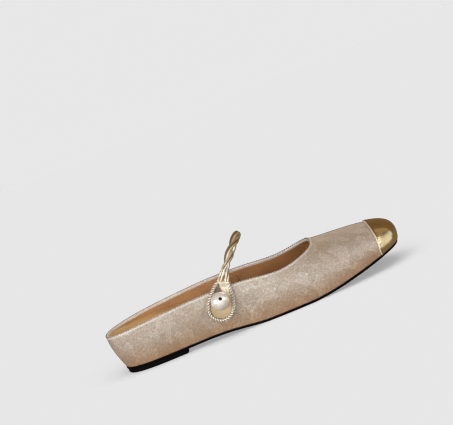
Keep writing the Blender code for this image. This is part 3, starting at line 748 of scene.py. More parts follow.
def build_upper():
    n_s, n_out, n_in, n_rim = 460, 78, 40, 7
    s = np.arange(n_s) * ROUND / n_s
    t_top, _ = topline(s)
    t = np.linspace(0, 1, n_out)
    ss = np.repeat(s[:, None], n_out, 1)
    tt = t_top[:, None] * t[None, :]
    normal = outward(ss, tt)
    p = last(ss, tt)
    outer = p + (wobble(ss, tt) * np.sin(math.pi * np.clip(tt * 1.0, 0, 1)) ** 0.5)[..., None] * normal
    top_n = normal[:, -1]
    top = p[:, -1]
    tangent = last(s, t_top) - last(s, t_top - 0.01)
    tangent /= np.linalg.norm(tangent, axis=1, keepdims=True)
    a = np.linspace(0, math.pi, n_rim + 2)[1:-1]
    rim = (
        top[:, None]
        - (WALL / 2 * (1 - np.cos(a)))[None, :, None] * top_n[:, None]
        + (WALL / 2 * np.sin(a))[None, :, None] * tangent[:, None]
    )
    si = np.repeat(s[:, None], n_in, 1)
    tj = t_top[:, None] * np.linspace(1, 0, n_in)[None, :]
    inner = shell(si, tj, -WALL)
    ring = np.concatenate([outer, rim, inner], axis=1)
    m = ring.shape[1]
    faces = grid_faces(n_s, m, wrap_n=True, wrap_m=True)
    j = np.tile(np.arange(m), n_s)
    material = np.where((j >= n_out + n_rim // 2) & (j < m), 1, 0)
    # cloth directions, in centimetres: along the shoe, and up its side and over the vamp
    foot = feather(s)
    arc = np.concatenate([[0], np.cumsum(np.linalg.norm(np.diff(foot[:, :2], axis=0), axis=1))])
    half = n_s // 2
    arc = np.where(np.arange(n_s) <= half, arc, arc[-1] + np.linalg.norm(foot[0, :2] - foot[-1, :2]) - arc)
    extra = np.where((s < 3.0) | (s > ROUND - 3.0), arc - foot[:, 0], np.interp(3.0, s, arc - foot[:, 0]))
    x, y, z = ring[..., 0], ring[..., 1], ring[..., 2]
    w = np.clip((x - 60.0) / 50.0, 0, 1)
    w = w * w * (3 - 2 * w)
    u = x + extra[:, None]
    # one sheet over the vamp, measured both ways from its middle line, with its seam up the back of the heel
    order = np.argsort(x[half, :n_out])
    line_x, line_y = x[half, order], y[half, order]
    v = z + w * (half_width(x) - np.abs(y - np.interp(x, line_x, line_y)))
    middle = np.interp(x, line_x, v[half, order])
    side = np.where(np.arange(n_s) <= half, -1.0, 1.0)[:, None]
    uv = np.stack([u / 10.0, side * (middle - v) / 10.0], axis=-1)
    uv_end = uv[0] * np.array([1.0, -1.0])
    above = np.concatenate(
        [
            np.concatenate([np.zeros((n_s, 1)), np.cumsum(np.linalg.norm(np.diff(outer, axis=1), axis=2), axis=1)], axis=1),
            np.full((n_s, n_rim + n_in), 30.0),
        ],
        axis=1,
    )
    obj = add_piece(
        "upper_cloth", ring.reshape(-1, 3), faces, [BROCADE, LINING], material,
        uv.reshape(-1, 2), {"above_sole": above.ravel()}, sharp=70, uv_end=uv_end,
    )
    return ride(obj, "brocade", "upper")


def build_binding():
    """Folded edge that wraps the topline, sewn down with a row of stitches."""
    n_s = 460
    s = np.arange(n_s) * ROUND / n_s
    t_top, run = topline(s)
    wide, thick = 1.5, 0.28
    tangent = last(s, t_top) - last(s, t_top - 0.01)
    tangent /= np.linalg.norm(tangent, axis=1, keepdims=True)

    def at(down, off):
        return shell(s, t_top - down / run, off)

    top_n = outward(s, t_top)
    top = last(s, t_top)
    rows = [at(wide, -0.15), at(wide, thick * 0.55), at(wide - 0.25, thick), at(wide * 0.6, thick * 1.15), at(wide * 0.3, thick * 1.05)]
    r = WALL / 2 + thick
    for a in np.linspace(0, math.pi, 9):
        rows.append(top - top_n * (WALL / 2) + r * (math.cos(a) * top_n + 0.9 * math.sin(a) * tangent))
    rows += [at(wide * 0.5, -WALL - thick), at(wide - 0.2, -WALL - thick), at(wide, -WALL - thick * 0.5), at(wide, -WALL + 0.15)]
    ring = np.stack(rows, axis=1)
    m = ring.shape[1]
    faces = grid_faces(n_s, m, wrap_n=True, wrap_m=True)
    foot = np.concatenate([[0], np.cumsum(np.linalg.norm(np.diff(top, axis=0), axis=1))])
    uv = np.stack([np.repeat(foot[:, None], m, 1) / 10.0, np.tile(np.arange(m) * 0.05, (n_s, 1))], axis=-1)
    obj = add_piece(
        "topline_binding", ring.reshape(-1, 3), faces, [BINDING], None, uv.reshape(-1, 2),
        {"above_sole": np.full(n_s * m, 30.0)}, sharp=60,
        uv_end=uv[0] + np.array([(foot[-1] + np.linalg.norm(top[0] - top[-1])) / 10.0, 0.0]),
    )
    ride(obj, "brocade")
    fine = np.arange(2400) * ROUND / 2400
    t_top, run = topline(fine)
    tangent = last(fine, t_top) - last(fine, t_top - 0.01)
    tangent /= np.linalg.norm(tangent, axis=1, keepdims=True)
    top_n = outward(fine, t_top)
    lean = math.radians(24.0)
    away = math.cos(lean) * top_n + math.sin(lean) * tangent
    path = last(fine, t_top) - top_n * (WALL / 2) + (r + 0.02) * away
    even, _ = even_path(path, spacing=2.05, cyclic=True)
    nearest = np.array([np.argmin(np.sum((path - q) ** 2, axis=1)) for q in even])
    verts, faces = stitches(even, away[nearest], 1.15, 0.27, sink=0.45)
    obj = add_piece("topline_stitches", verts, faces, [EDGE_THREAD])
    ride(obj, "brocade")


# ------------------------------------------------------------------ toe cap and its piping
def build_toe_cap():
    fine = np.linspace(TOE - 3.0, TOE + 3.0, 2401)
    inside = fine[feather(fine)[:, 0] - CAP_SEAM > 0.3]
    s = np.linspace(inside[0], inside[-1], 150)
    seam = where(s, lambda a, t: behind_seam(shell(a, t, GAP)), low=0.004, high=1.0)
    k = np.linspace(0, 1, 58)
    ss = np.repeat(s[:, None], len(k), 1)
    tt = seam[:, None] * k[None, :]
    outer = shell(ss, tt, GAP + CAP_T)
    inner = shell(ss, tt, GAP)
    # edges turn in at the sole and at the seam
    edge = 1 - np.minimum(1, np.minimum(k * len(k) / 3.0, (1 - k) * len(k) / 3.0))
    outer = outer - (0.45 * edge**2)[None, :, None] * outward(ss, tt)
    n, m = len(s), len(k)
    verts = np.vstack([outer.reshape(-1, 3), inner.reshape(-1, 3)])
    faces = grid_faces(n, m) + [f[::-1] for f in grid_faces(n, m, start=n * m)]
    for i in range(n - 1):
        for j in (0, m - 1):
            a, b = i * m + j, (i + 1) * m + j
            faces.append([a, b, b + n * m, a + n * m])
    for j in range(m - 1):
        for i in (0, n - 1):
            a, b = i * m + j, i * m + j + 1
            faces.append([a, b, b + n * m, a + n * m])
    obj = add_piece("toe_cap_leather", verts, faces, [MIRROR], sharp=50)
    ride(obj, "mirror_gold_leather", "toe_cap")
    # piping along the seam
    back = where(s, lambda a, t: behind_seam(shell(a, t, GAP), 0.55), low=0.004, high=1.0)
    path = shell(s, back, 0.75)
    low = shell(s[:1], np.array([0.002]), 0.75), shell(s[-1:], np.array([0.002]), 0.75)
    path, _ = even_path(np.vstack([low[0], path, low[1]]), count=170)
    verts, faces = tube_mesh(path, 0.48, sides=10, hint=(1, 0, 0))
    obj = add_piece("cap_piping", verts, faces, [PIPING])
    ride(obj, "mirror_gold_leather")
    # and a sewn row just ahead of it, on the cap
    ahead = where(s, lambda a, t: behind_seam(shell(a, t, GAP + CAP_T), -1.05), low=0.004, high=1.0)
    keep = ahead > 0.03
    row_s, row_t = s[keep], ahead[keep]
    path = shell(row_s, row_t, GAP + CAP_T - 0.05)
    dots, _ = even_path(path, spacing=1.9)
    nearest = np.array([np.argmin(np.sum((path - q) ** 2, axis=1)) for q in dots])
    verts, faces = stitches(dots, outward(row_s[nearest], row_t[nearest]), 1.3, 0.22, sink=0.25)
    ride(add_piece("cap_stitches", verts, faces, [DARK_THREAD]), "mirror_gold_leather")


# ------------------------------------------------------------------ soles
def sole_outline(count, inset=0.0):
    s = np.arange(count) * ROUND / count
    along = feather(s + 0.02) - feather(s - 0.02)
    normal = np.stack([along[:, 1], -along[:, 0]], axis=-1)
    normal /= np.linalg.norm(normal, axis=1, keepdims=True)
    f = feather(s)[:, :2]
    normal *= np.sign(np.sum(normal * (f - [LENGTH / 2, 0.0]), axis=1))[:, None]
    return f - inset * normal


def plate_piece(name, rings, across, material, top_height=None, bottom_height=None, sharp=40):
    """Closed plate from rings of points, lowest ring first, closed below and above with rungs."""
    n = len(rings[0])
    verts = np.vstack(rings)
    faces = grid_faces(len(rings), n, wrap_m=True)
    new, more = ladder_faces(0, n, verts, across, bottom_height)
    verts = np.vstack([verts, np.array(new).reshape(-1, 3)])
    faces += more
    new, more = ladder_faces((len(rings) - 1) * n, n, verts, across, top_height)
    verts = np.vstack([verts, np.array(new).reshape(-1, 3)])
    faces += more
    return add_piece(name, verts, faces, [material], sharp=sharp)


def build_outsole():
    n = 360

    def ring(inset, lift):
        p = sole_outline(n, inset)
        return np.column_stack([p, profile(SOLE_PROFILE, p[:, 0]) + lift])

    rings = [ring(0.5, 0.0), ring(0.1, 0.06), ring(-0.2, 0.3), ring(-0.25, 0.6), ring(-0.25, OUTSOLE_T - 0.35), ring(-0.15, OUTSOLE_T - 0.1), ring(0.1, OUTSOLE_T)]
    obj = plate_piece("outsole_rubber", rings, 12, RUBBER, lambda x, share: float(profile(SOLE_PROFILE, x)) + OUTSOLE_T, lambda x, share: float(profile(SOLE_PROFILE, x)))
    ride(obj, "outsole_rubber", "outsole")


def build_heel_pad():
    n = 1200
    outline = sole_outline(n, 0.35)
    order = np.concatenate([np.arange(n // 2, n), np.arange(0, n // 2)])
    half = outline[order]
    keep = half[half[:, 0] < HEEL_PAD_FRONT]
    keep = keep[::4]
    inner_end, outer_end = keep[0].copy(), keep[-1].copy()
    front = []
    r = 1.2
    for share in np.linspace(0, 1, 22)[1:-1]:
        y = outer_end[1] * (1 - share) + inner_end[1] * share
        front.append([HEEL_PAD_FRONT + 0.6 * math.sin(math.pi * share), y])
    loop = np.vstack([keep, np.array(front)])
    loop, _ = even_path(loop, count=200, cyclic=True)
    step = np.roll(loop, -1, 0) - np.roll(loop, 1, 0)
    normal = np.stack([step[:, 1], -step[:, 0]], axis=1)
    normal /= np.linalg.norm(normal, axis=1, keepdims=True)
    normal *= np.sign(np.sum(normal * (loop - loop.mean(0)), axis=1))[:, None]
    rings = []
    for inset, z in ((0.9, 0.0), (0.35, 0.1), (0.1, 0.35), (0.0, 0.8), (0.0, 2.5), (0.15, 2.85), (0.5, HEEL_PAD_T)):
        p = loop - inset * normal
        rings.append(np.column_stack([p, np.full(len(p), z)]))
    verts = np.vstack(rings)
    m = len(loop)
    faces = grid_faces(len(rings), m, wrap_m=True)
    faces.append(list(range(m)))
    faces.append([(len(rings) - 1) * m + k for k in range(m)][::-1])
    obj = add_piece("heel_piece_rubber", verts, faces, [HEEL_RUBBER], sharp=40)
    ride(obj, "heel_rubber", "heel_pad")


def footbed(x, share):
    return float(profile(FOOTBED_PROFILE, x)) + INSOLE_EDGE_CUP * (2 * share - 1) ** 4


def build_insole():
    n = 400
    s = np.arange(n) * ROUND / n
    inner = -(WALL + GAP)
    rim = where(s, lambda a, t: shell(a, t, inner)[..., 2] > profile(FOOTBED_PROFILE, shell(a, t, inner)[..., 0]) + INSOLE_EDGE_CUP)
    rings = [shell(s, rim * k, inner) for k in (0.0, 0.25, 0.5, 0.75, 0.95, 1.0)]
    obj = plate_piece("insole_leather", rings, 40, INSOLE, footbed, None, sharp=55)
    ride(obj, "insole_leather", "insole")


# ------------------------------------------------------------------ strap
def strap_frame(points):
    table = np.array([row[1:] for row in STRAP], float)
    fine = open_spline(table, np.linspace(0, 1, 2001))
    run = np.concatenate([[0], np.cumsum(np.linalg.norm(np.diff(fine[:, :3], axis=0), axis=1))])
    even = np.linspace(0, run[-1], points)
    rows = np.stack([np.interp(even, run, column) for column in fine.T], axis=1)
    along = np.gradient(rows[:, :3], axis=0)
    along /= np.linalg.norm(along, axis=1, keepdims=True)
    away = rows[:, :3] - np.array(STRAP_BACK)
    away -= np.sum(away * along, axis=1, keepdims=True) * along
    away /= np.linalg.norm(away, axis=1, keepdims=True)
    return rows, along, away, np.cross(along, away), even / run[-1]


FACE = math.radians(20.0)  # the strands' sewn faces look this way from the outer side
PATCH_FINE = np.linspace(14.2, 16.8, 400)
PATCH_S = float(np.interp(-106.4, -last(PATCH_FINE, np.full(400, 0.8))[:, 0], PATCH_FINE))  # middle of the patch over the strap's sewn end


def soften(rows, at, reach=16, rounds=90):
    """Rows made smooth round the one where two runs of them meet."""
    rows = rows.copy()
    for _ in range(rounds):
        part = rows[at - reach - 1 : at + reach + 1]
        rows[at - reach : at + reach] = 0.5 * part[1:-1] + 0.25 * (part[:-2] + part[2:])
    return rows


def build_strap():
    """Two folded leather strips laid loosely round each other. Each has a sewn groove down both faces."""
    n, m, lead = 300, 44, 30
    rows, along, away, across, share = strap_frame(n)
    a = np.linspace(0, 2 * math.pi, m, endpoint=False)
    ca, sa = np.sign(np.cos(a)) * np.abs(np.cos(a)) ** 0.8, np.sign(np.sin(a)) * np.abs(np.sin(a)) ** 0.8
    groove = np.exp(-((ca / 0.22) ** 2))
    bead = np.exp(-(((np.abs(ca) - 0.76) / 0.17) ** 2))
    length = float(np.sum(np.linalg.norm(np.diff(rows[:, :3], axis=0), axis=1)))
    arc = share * length
    pieces, seams, reliefs, edges = [], [], [], []
    for k in (0, 1):
        turn = STRAP_START + math.pi * k + 2 * math.pi * STRAP_TURNS * share
        turn = turn - 2 * math.pi * k
        radial = np.cos(turn)[:, None] * away + np.sin(turn)[:, None] * across
        ease = np.clip(arc / 11.0, 0, 1)
        ease = ease * ease * (3 - 2 * ease)
        end = np.clip((length - arc) / 16.0, 0, 1)
        face = FACE + 0.5 * (turn - FACE) * ease
        out = np.cos(face)[:, None] * away + np.sin(face)[:, None] * across
        wide_way = -np.sin(face)[:, None] * away + np.cos(face)[:, None] * across
        path = rows[:, :3] + (1.0 + 0.22 * end)[:, None] * rows[:, 3:4] * radial
        wide = 1.06 * rows[:, 4]
        thick = 0.70 * rows[:, 4] * (0.55 + 0.45 * end)
        # the lower ends run down on to the tab, under its fold
        over = 3.1 if k == 0 else -3.1
        low = tab_point(np.array([9.4, 12.2, 14.8]), over * np.array([0.97, 1.03, 0.98]), GAP + TAB_T + np.array([-0.75, 0.55, 0.95]))
        bend = open_spline(np.vstack([low, path[6:7], path[14:15]]), np.linspace(0, 0.75, lead + 1)[:-1])
        path = soften(np.vstack([bend, path[6:]]), lead)
        grow = np.linspace(0, 1, lead)
        face_low = np.array([0.0, -1.0, 0.0])
        out_low = face_low[None] * (1 - grow)[:, None] + out[6][None] * grow[:, None]
        out = soften(np.vstack([out_low, out[6:]]), lead)
        # and the upper ends down the inner wall, side by side under the patch
        left = np.concatenate([[0], np.cumsum(np.linalg.norm(np.diff(path, axis=0), axis=1))])
        left = left[-1] - left
        near = np.clip(1 - left / 15.0, 0, 1)
        near = near * near * (3 - 2 * near)
        end_s = np.array([PATCH_S - 0.048 if k == 0 else PATCH_S + 0.048])
        foot = shell(end_s, np.array([0.66]), -(WALL + 0.85))[0]
        rise = shell(end_s, np.array([0.96]), -(WALL + 1.25))[0] - foot
        rise /= np.linalg.norm(rise)
        path = path * (1 - near)[:, None] + (foot + left[:, None] * rise) * near[:, None]
        out = out * (1 - near)[:, None] + np.array([0.1, -1.0, 0.0]) * np.where(out[-1, 1] < 0, 1, -1) * near[:, None]
        step = np.gradient(path, axis=0)
        step /= np.linalg.norm(step, axis=1, keepdims=True)
        out = out - np.sum(out * step, axis=1, keepdims=True) * step
        out /= np.linalg.norm(out, axis=1, keepdims=True)
        wide_way = np.cross(step, out)
        wide = soften(np.concatenate([np.linspace(0.9, 1, lead) * wide[6], wide[6:]]), lead)
        thick = soften(np.concatenate([np.linspace(0.45, 1, lead) * thick[6], thick[6:]]), lead)
        ring = (
            path[:, None]
            + (wide[:, None] * ca)[..., None] * wide_way[:, None]
            + (thick[:, None] * (sa * (1 - 0.42 * groove + 0.16 * bead)))[..., None] * out[:, None]
        )
        count = len(path)
        faces = grid_faces(count, m, wrap_m=True)
        faces.append(list(range(m)))
        faces.append([(count - 1) * m + j for j in range(m)][::-1])
        pieces.append((ring.reshape(-1, 3), faces))
        # relief marks the sunk groove for its painted shade, edge marks the strips' edges for their painted highlight
        reliefs.append(np.tile(1 - groove * np.abs(sa), count))
        edges.append(np.tile(np.clip((np.abs(ca) - 0.40) / 0.30, 0, 1), count))
        for side in (1, -1):
            line = path + side * (0.60 * thick)[:, None] * out
            dots, _ = even_path(line[4:-4], spacing=1.9)
            nearest = np.array([np.argmin(np.sum((line - q) ** 2, axis=1)) for q in dots])
            seams.append(stitches(dots, side * out[nearest], 1.25, 0.2, sink=0.25))
    verts, faces = merge(*pieces)
    obj = add_piece("strap_strands", verts, faces, [PALE_GOLD], attributes={"relief": np.concatenate(reliefs), "edge": np.concatenate(edges)}, sharp=80)
    ride(obj, "strap_leather", "strap")
    verts, faces = merge(*seams)
    ride(add_piece("strap_stitches", verts, faces, [DARK_THREAD]), "strap_leather")


def build_anchor():
    """Leather patch that covers the strap's sewn end on the inner wall."""
    middle = PATCH_S
    n, m = 25, 31
    u, v = np.meshgrid(np.linspace(-1, 1, n), np.linspace(-1, 1, m), indexing="ij")
    # a square turned into a round-cornered patch
    uu, vv = u * np.sqrt(1 - 0.32 * v * v), v * np.sqrt(1 - 0.32 * u * u)
    ss = middle + uu * 0.28
    tt = 0.70 + vv * 0.185
    rim = np.clip(1 - np.maximum(np.abs(u), np.abs(v)) ** 6, 0, 1)
    swell = np.exp(-((uu / 0.55) ** 2)) * np.clip(0.5 + 0.6 * v, 0, 1)
    lift = 0.15 + 0.75 * rim**0.5 + 2.4 * swell * np.clip(1 - np.abs(u), 0, 1) ** 0.5
    top = shell(ss, tt, 0.0) - (WALL + lift)[..., None] * outward(ss, tt)
    low = shell(ss, tt, 0.0) - (WALL - 0.3) * outward(ss, tt)
    verts = np.vstack([top.reshape(-1, 3), low.reshape(-1, 3)])
    faces = closed_patch(n, m)
    obj = add_piece("strap_anchor", verts, faces, [LINING], sharp=70)
    ride(obj, "strap_leather")
    a = np.linspace(0, 2 * math.pi, 200, endpoint=False)
    eu, ev = 0.80 * np.sign(np.cos(a)) * np.abs(np.cos(a)) ** 0.5, 0.84 * np.sign(np.sin(a)) * np.abs(np.sin(a)) ** 0.5
    es, et = middle + eu * 0.28, 0.70 + ev * 0.185
    swell = np.exp(-((eu / 0.55) ** 2)) * np.clip(0.5 + 0.6 * ev, 0, 1)
    lift = 0.95 + 2.4 * swell * np.clip(1 - np.abs(eu), 0, 1) ** 0.5
    path = last(es, et) - (WALL + lift)[:, None] * outward(es, et)
    keep = ev < 0.75
    dots, _ = even_path(np.vstack([path[(a > math.pi / 2)], path[(a <= math.pi / 2)]])[np.concatenate([keep[a > math.pi / 2], keep[a <= math.pi / 2]])], spacing=2.0)
    nearest = np.array([np.argmin(np.sum((path - q) ** 2, axis=1)) for q in dots])
    verts, faces = stitches(dots, -outward(es[nearest], et[nearest]), 1.2, 0.22, sink=0.3)
    ride(add_piece("anchor_stitches", verts, faces, [DARK_THREAD]), "strap_leather")


# ------------------------------------------------------------------ button tab, braid and pearl
def build_tab():
    loop = tab_loop(60)
    middle = np.array([-1.5, 0.0])
    rows = []
    for share, height in ((0.30, 0.0), (0.62, 0.0), (0.90, 0.0), (0.97, 0.1), (1.0, 0.45), (1.0, 0.9), (0.98, 1.25), (0.94, TAB_T), (0.84, 1.32), (0.6, 1.1), (0.3, 1.0)):
        flat = middle + (loop - middle) * share
        rows.append(tab_point(flat[:, 0], flat[:, 1], GAP + height))
    m = len(loop)
    verts = np.vstack(rows + [tab_point(middle[0], middle[1], GAP)[None], tab_point(middle[0], middle[1], GAP + 1.0)[None]])
    faces = grid_faces(len(rows), m, wrap_m=True)
    lower, upper = len(rows) * m, len(rows) * m + 1
    for j in range(m):
        k = (j + 1) % m
        faces.append([j, k, lower])
        faces.append([(len(rows) - 1) * m + k, (len(rows) - 1) * m + j, upper])
    obj = add_piece("tab_leather", verts, faces, [TAB_GOLD], sharp=60)
    ride(obj, "tab_leather", "tab")


def rope(path, hint, radius, lay, turns, sides=12, strands=2):
    """Strands laid round each other along a path. Also gives how far each point stands out from the rope's middle."""
    _, side, other = frames(path, False, hint)
    parts, relief = [], []
    n = len(path)
    share = np.linspace(0, 1, n)
    for k in range(strands):
        a = 2 * math.pi * (turns * share + k / strands)
        line = path + lay * (np.cos(a)[:, None] * side + np.sin(a)[:, None] * other)
        verts, faces = tube_mesh(line, radius, sides=sides, hint=hint)
        parts.append((verts, faces))
        away = np.linalg.norm(verts.reshape(n, sides, 3) - path[:, None], axis=2)
        relief.append((away / (radius + lay)).ravel())
    verts, faces = merge(*parts)
    return verts, faces, np.concatenate(relief)


def rim_path(inset, height, count):
    """From the tab's top left corner down, round and up to its top right corner."""
    loop = tab_loop(200, inset=inset)
    right, left = loop[:200], loop[200:]
    flat = np.vstack([left, right])
    flat, length = even_path(flat, count=count)
    return tab_point(flat[:, 0], flat[:, 1], height), length


def build_rim():
    path, length = rim_path(1.15, GAP + TAB_T + 0.95, 520)
    verts, faces, relief = rope(path, (0, -1, 0), 0.74, 0.60, length / 4.3)
    obj = add_piece("tab_braid", verts, faces, [BRAID], attributes={"relief": relief})
    ride(obj, "braid", "tab_rim")
    path, length = rim_path(2.75, GAP + 1.36, 400)
    even, _ = even_path(path, spacing=2.0)
    verts, faces = stitches(even, np.tile([0.0, -1.0, 0.0], (len(even), 1)), 1.2, 0.24, sink=0.3)
    ride(add_piece("tab_stitches", verts, faces, [DARK_THREAD]), "braid")


def build_fold():
    """The tab's leather top, folded down over the strands' ends and tucked in beside the pearl."""
    n, m = 44, 25
    over = np.linspace(-1, 1, m)
    rows = []
    for k in range(n):
        f = k / (n - 1)
        left = -4.5 + 5.6 * f**0.85
        right = 4.9 + 1.2 * math.sin(math.pi * 0.5 * f) - 0.4 * f
        up = 15.2 - 10.6 * f + 0.5 * over * (1 - f)
        lift = 1.75 * (1 - f) ** 0.8 + 0.25 + 0.55 * math.exp(-((f - 0.12) / 0.16) ** 2)
        lift *= 1 - 0.55 * math.exp(-((f / 0.05) ** 2))
        edge = np.clip(1 - np.abs(over) ** 5, 0, 1) ** 0.5
        crease = -0.45 * np.exp(-(((over + 0.35 - 0.7 * f) / 0.14) ** 2)) * min(1.0, 3 * f)
        rows.append(tab_point(up, (left + right) / 2 + (right - left) / 2 * over, GAP + 1.35 + lift * (0.55 + 0.45 * edge) + crease))
    top = np.array(rows)
    low = top + np.array([0.0, 0.8, 0.0])
    verts = np.vstack([top.reshape(-1, 3), low.reshape(-1, 3)])
    # edge 0.6 mixes the whole fold part way to the painted edge highlight, so the fold is painted lighter
    obj = add_piece("tab_fold", verts, closed_patch(n, m), [PALE_GOLD], attributes={"relief": np.ones(2 * n * m), "edge": np.full(2 * n * m, 0.6)}, sharp=60)
    ride(obj, "tab_leather")


def build_pearl():
    """Bead flattened at the back, with the drilled hole of its fixing in the middle of its face. The hole's inside is a
    dark material: painted shade.
    """
    seat = tab_point(np.array([0.0, 2.0, 0.0]), np.array([0.0, 0.0, 2.0]) - PEARL_BACK, GAP + TAB_T)
    normal = np.cross(seat[1] - seat[0], seat[2] - seat[0])
    normal /= np.linalg.norm(normal)
    if normal[1] > 0:
        normal = -normal
    at = seat[0] + normal * (2 * GAP + PEARL_DEPTH - PEARL_D / 2)
    r, hole, lip = PEARL_D / 2, PEARL_HOLE / 2, 0.28
    n = 96
    first = math.asin((hole + lip) / r)
    rows = [(0.0, r - 3.2), (hole * 0.7, r - 3.2), (hole, r - 2.9), (hole, r - 1.4)]
    top = r * math.cos(first)
    rows += [(hole + lip * (1 - math.cos(q)), top - lip * 0.9 * (1 - math.sin(q))) for q in np.linspace(0, math.pi / 2 - first, 6)]
    inside = len(rows) - 3
    rows += [(r * math.sin(q), r * math.cos(q)) for q in np.linspace(first, math.pi, 64)[1:]]
    verts, faces, material = [(0.0, 0.0, rows[0][1])], [], []
    for out, up in rows[1:-1]:
        verts += [(out * math.cos(q), out * math.sin(q), up) for q in np.arange(n) * 2 * math.pi / n]
    verts.append((0.0, 0.0, rows[-1][1]))
    last_ring = 1 + (len(rows) - 3) * n
    for j in range(n):
        k = (j + 1) % n
        faces.append((0, 1 + k, 1 + j))
        material.append(1)
        for i in range(len(rows) - 3):
            q = 1 + i * n
            faces.append((q + j, q + k, q + n + k, q + n + j))
            material.append(1 if i + 2 < inside else 0)
        faces.append((last_ring + j, last_ring + k, len(verts) - 1))
        material.append(0)
    axis = normal + np.array([0.22, 0.0, 0.43])
    axis /= np.linalg.norm(axis)
    mesh = bpy.data.meshes.new("pearl_button")
    mesh.from_pydata([tuple(c * MM for c in v) for v in verts], [], faces)
    mesh.materials.append(PEARL)
    mesh.materials.append(HOLE_SHADE)
    mesh.polygons.foreach_set("material_index", material)
    bm = bmesh.new()
    bm.from_mesh(mesh)
    turn = Vector(axis).to_track_quat("Z", "Y").to_matrix().to_4x4()
    bmesh.ops.transform(bm, matrix=Matrix.Translation(Vector(at - ORIGIN) * MM) @ turn, verts=bm.verts)
    back = Vector(at - ORIGIN - normal * (PEARL_DEPTH - PEARL_D / 2)) * MM
    bmesh.ops.bisect_plane(bm, geom=list(bm.verts) + list(bm.edges) + list(bm.faces), plane_co=back, plane_no=Vector(-normal), clear_outer=True)
    bmesh.ops.holes_fill(bm, edges=[e for e in bm.edges if e.is_boundary])
    bmesh.ops.recalc_face_normals(bm, faces=bm.faces)
    bm.to_mesh(mesh)
    bm.free()
    mesh.shade_smooth()
    mesh.set_sharp_from_angle(angle=math.radians(50))
    obj = bpy.data.objects.new("pearl_button", mesh)
    bpy.context.scene.collection.objects.link(obj)
    ride(obj, "pearl", "pearl")


def build_shadow_patch():
    """Painted shadow: a dark patch laid on the tab between the braid and the fold above the pearl, where the gap lies
    in shade.
    """
    n, m = 15, 11
    over = np.linspace(-1, 1, m)
    rows = []
    for k in range(n):
        f = k / (n - 1)
        up = 12.4 - 7.4 * f
        fold = (15.2 - up) / 10.6
        right = -4.5 + 5.6 * fold**0.85 + 0.5
        left = -3.9 - 2.4 * f**0.8
        hollow = 0.12 - 0.25 * (1 - over**2)
        rows.append(tab_point(np.full(m, up), (left + right) / 2 + (right - left) / 2 * over, GAP + TAB_T + hollow))
    top = np.array(rows)
    low = top + np.array([0.0, 0.5, 0.0])
    obj = add_piece("tab_shadow_patch", np.vstack([top.reshape(-1, 3), low.reshape(-1, 3)]), closed_patch(n, m), [TUCK_SHADOW], sharp=60)
    ride(obj, "tab_leather")


build_upper()
build_binding()
build_toe_cap()
build_outsole()
build_heel_pad()
build_insole()
build_strap()
build_anchor()
build_tab()
build_rim()
build_fold()
build_shadow_patch()
build_pearl()

# ------------------------------------------------------------------ camera: the photograph's angle to the shoe
AZ, EL, ROLL = 0.0, 10.0, 23.06
DISTANCE = 1.4
PX_PER_MM = 1.2509
TARGET_PX = (252.54, 286.07)
IMAGE = (453, 425)


def set_camera():
    a, e, r = map(math.radians, (AZ, EL, ROLL))
    forward = -Vector((math.sin(a) * math.cos(e), -math.cos(a) * math.cos(e), math.sin(e)))
    right = Vector((math.cos(a), math.sin(a), 0.0))
    up = right.cross(forward)
    image_right = right * math.cos(r) - up * math.sin(r)
    image_up = right * math.sin(r) + up * math.cos(r)
    target = Vector((0.0, 0.0, 0.025))
    position = target - forward * DISTANCE
    # aim so that the target lands on its pixel, without lens shift
    dx = (IMAGE[0] / 2 - TARGET_PX[0]) / PX_PER_MM * MM
    dy = (TARGET_PX[1] - IMAGE[1] / 2) / PX_PER_MM * MM
    aim = target + image_right * dx + image_up * dy
    look = (aim - position).normalized()
    side = (image_right - look * image_right.dot(look)).normalized()
    top = side.cross(look)
    data = bpy.data.cameras.new("camera")
    data.sensor_width = 36.0
    data.sensor_fit = "HORIZONTAL"
    data.lens = PX_PER_MM * DISTANCE * 1000 / IMAGE[0] * 36.0
    data.clip_start, data.clip_end = 0.05, 50.0
    cam = bpy.data.objects.new("camera", data)
    cam.matrix_world = Matrix((
        (side.x, top.x, -look.x, position.x),
        (side.y, top.y, -look.y, position.y),
        (side.z, top.z, -look.z, position.z),
        (0, 0, 0, 1),
    ))
    bpy.context.scene.collection.objects.link(cam)
    bpy.context.scene.camera = cam


def set_light(name, place, aim, size, power, colour=(1, 1, 1), glossy=True):
    data = bpy.data.lights.new(name, "AREA")
    data.shape = "RECTANGLE"
    data.size, data.size_y = size
    data.energy = power
    data.color = colour
    obj = bpy.data.objects.new(name, data)
    obj.location = place
    obj.rotation_mode = "QUATERNION"
    obj.rotation_quaternion = (Vector(aim) - Vector(place)).to_track_quat("-Z", "Y")
    obj.visible_glossy = glossy
    bpy.context.scene.collection.objects.link(obj)
    return obj


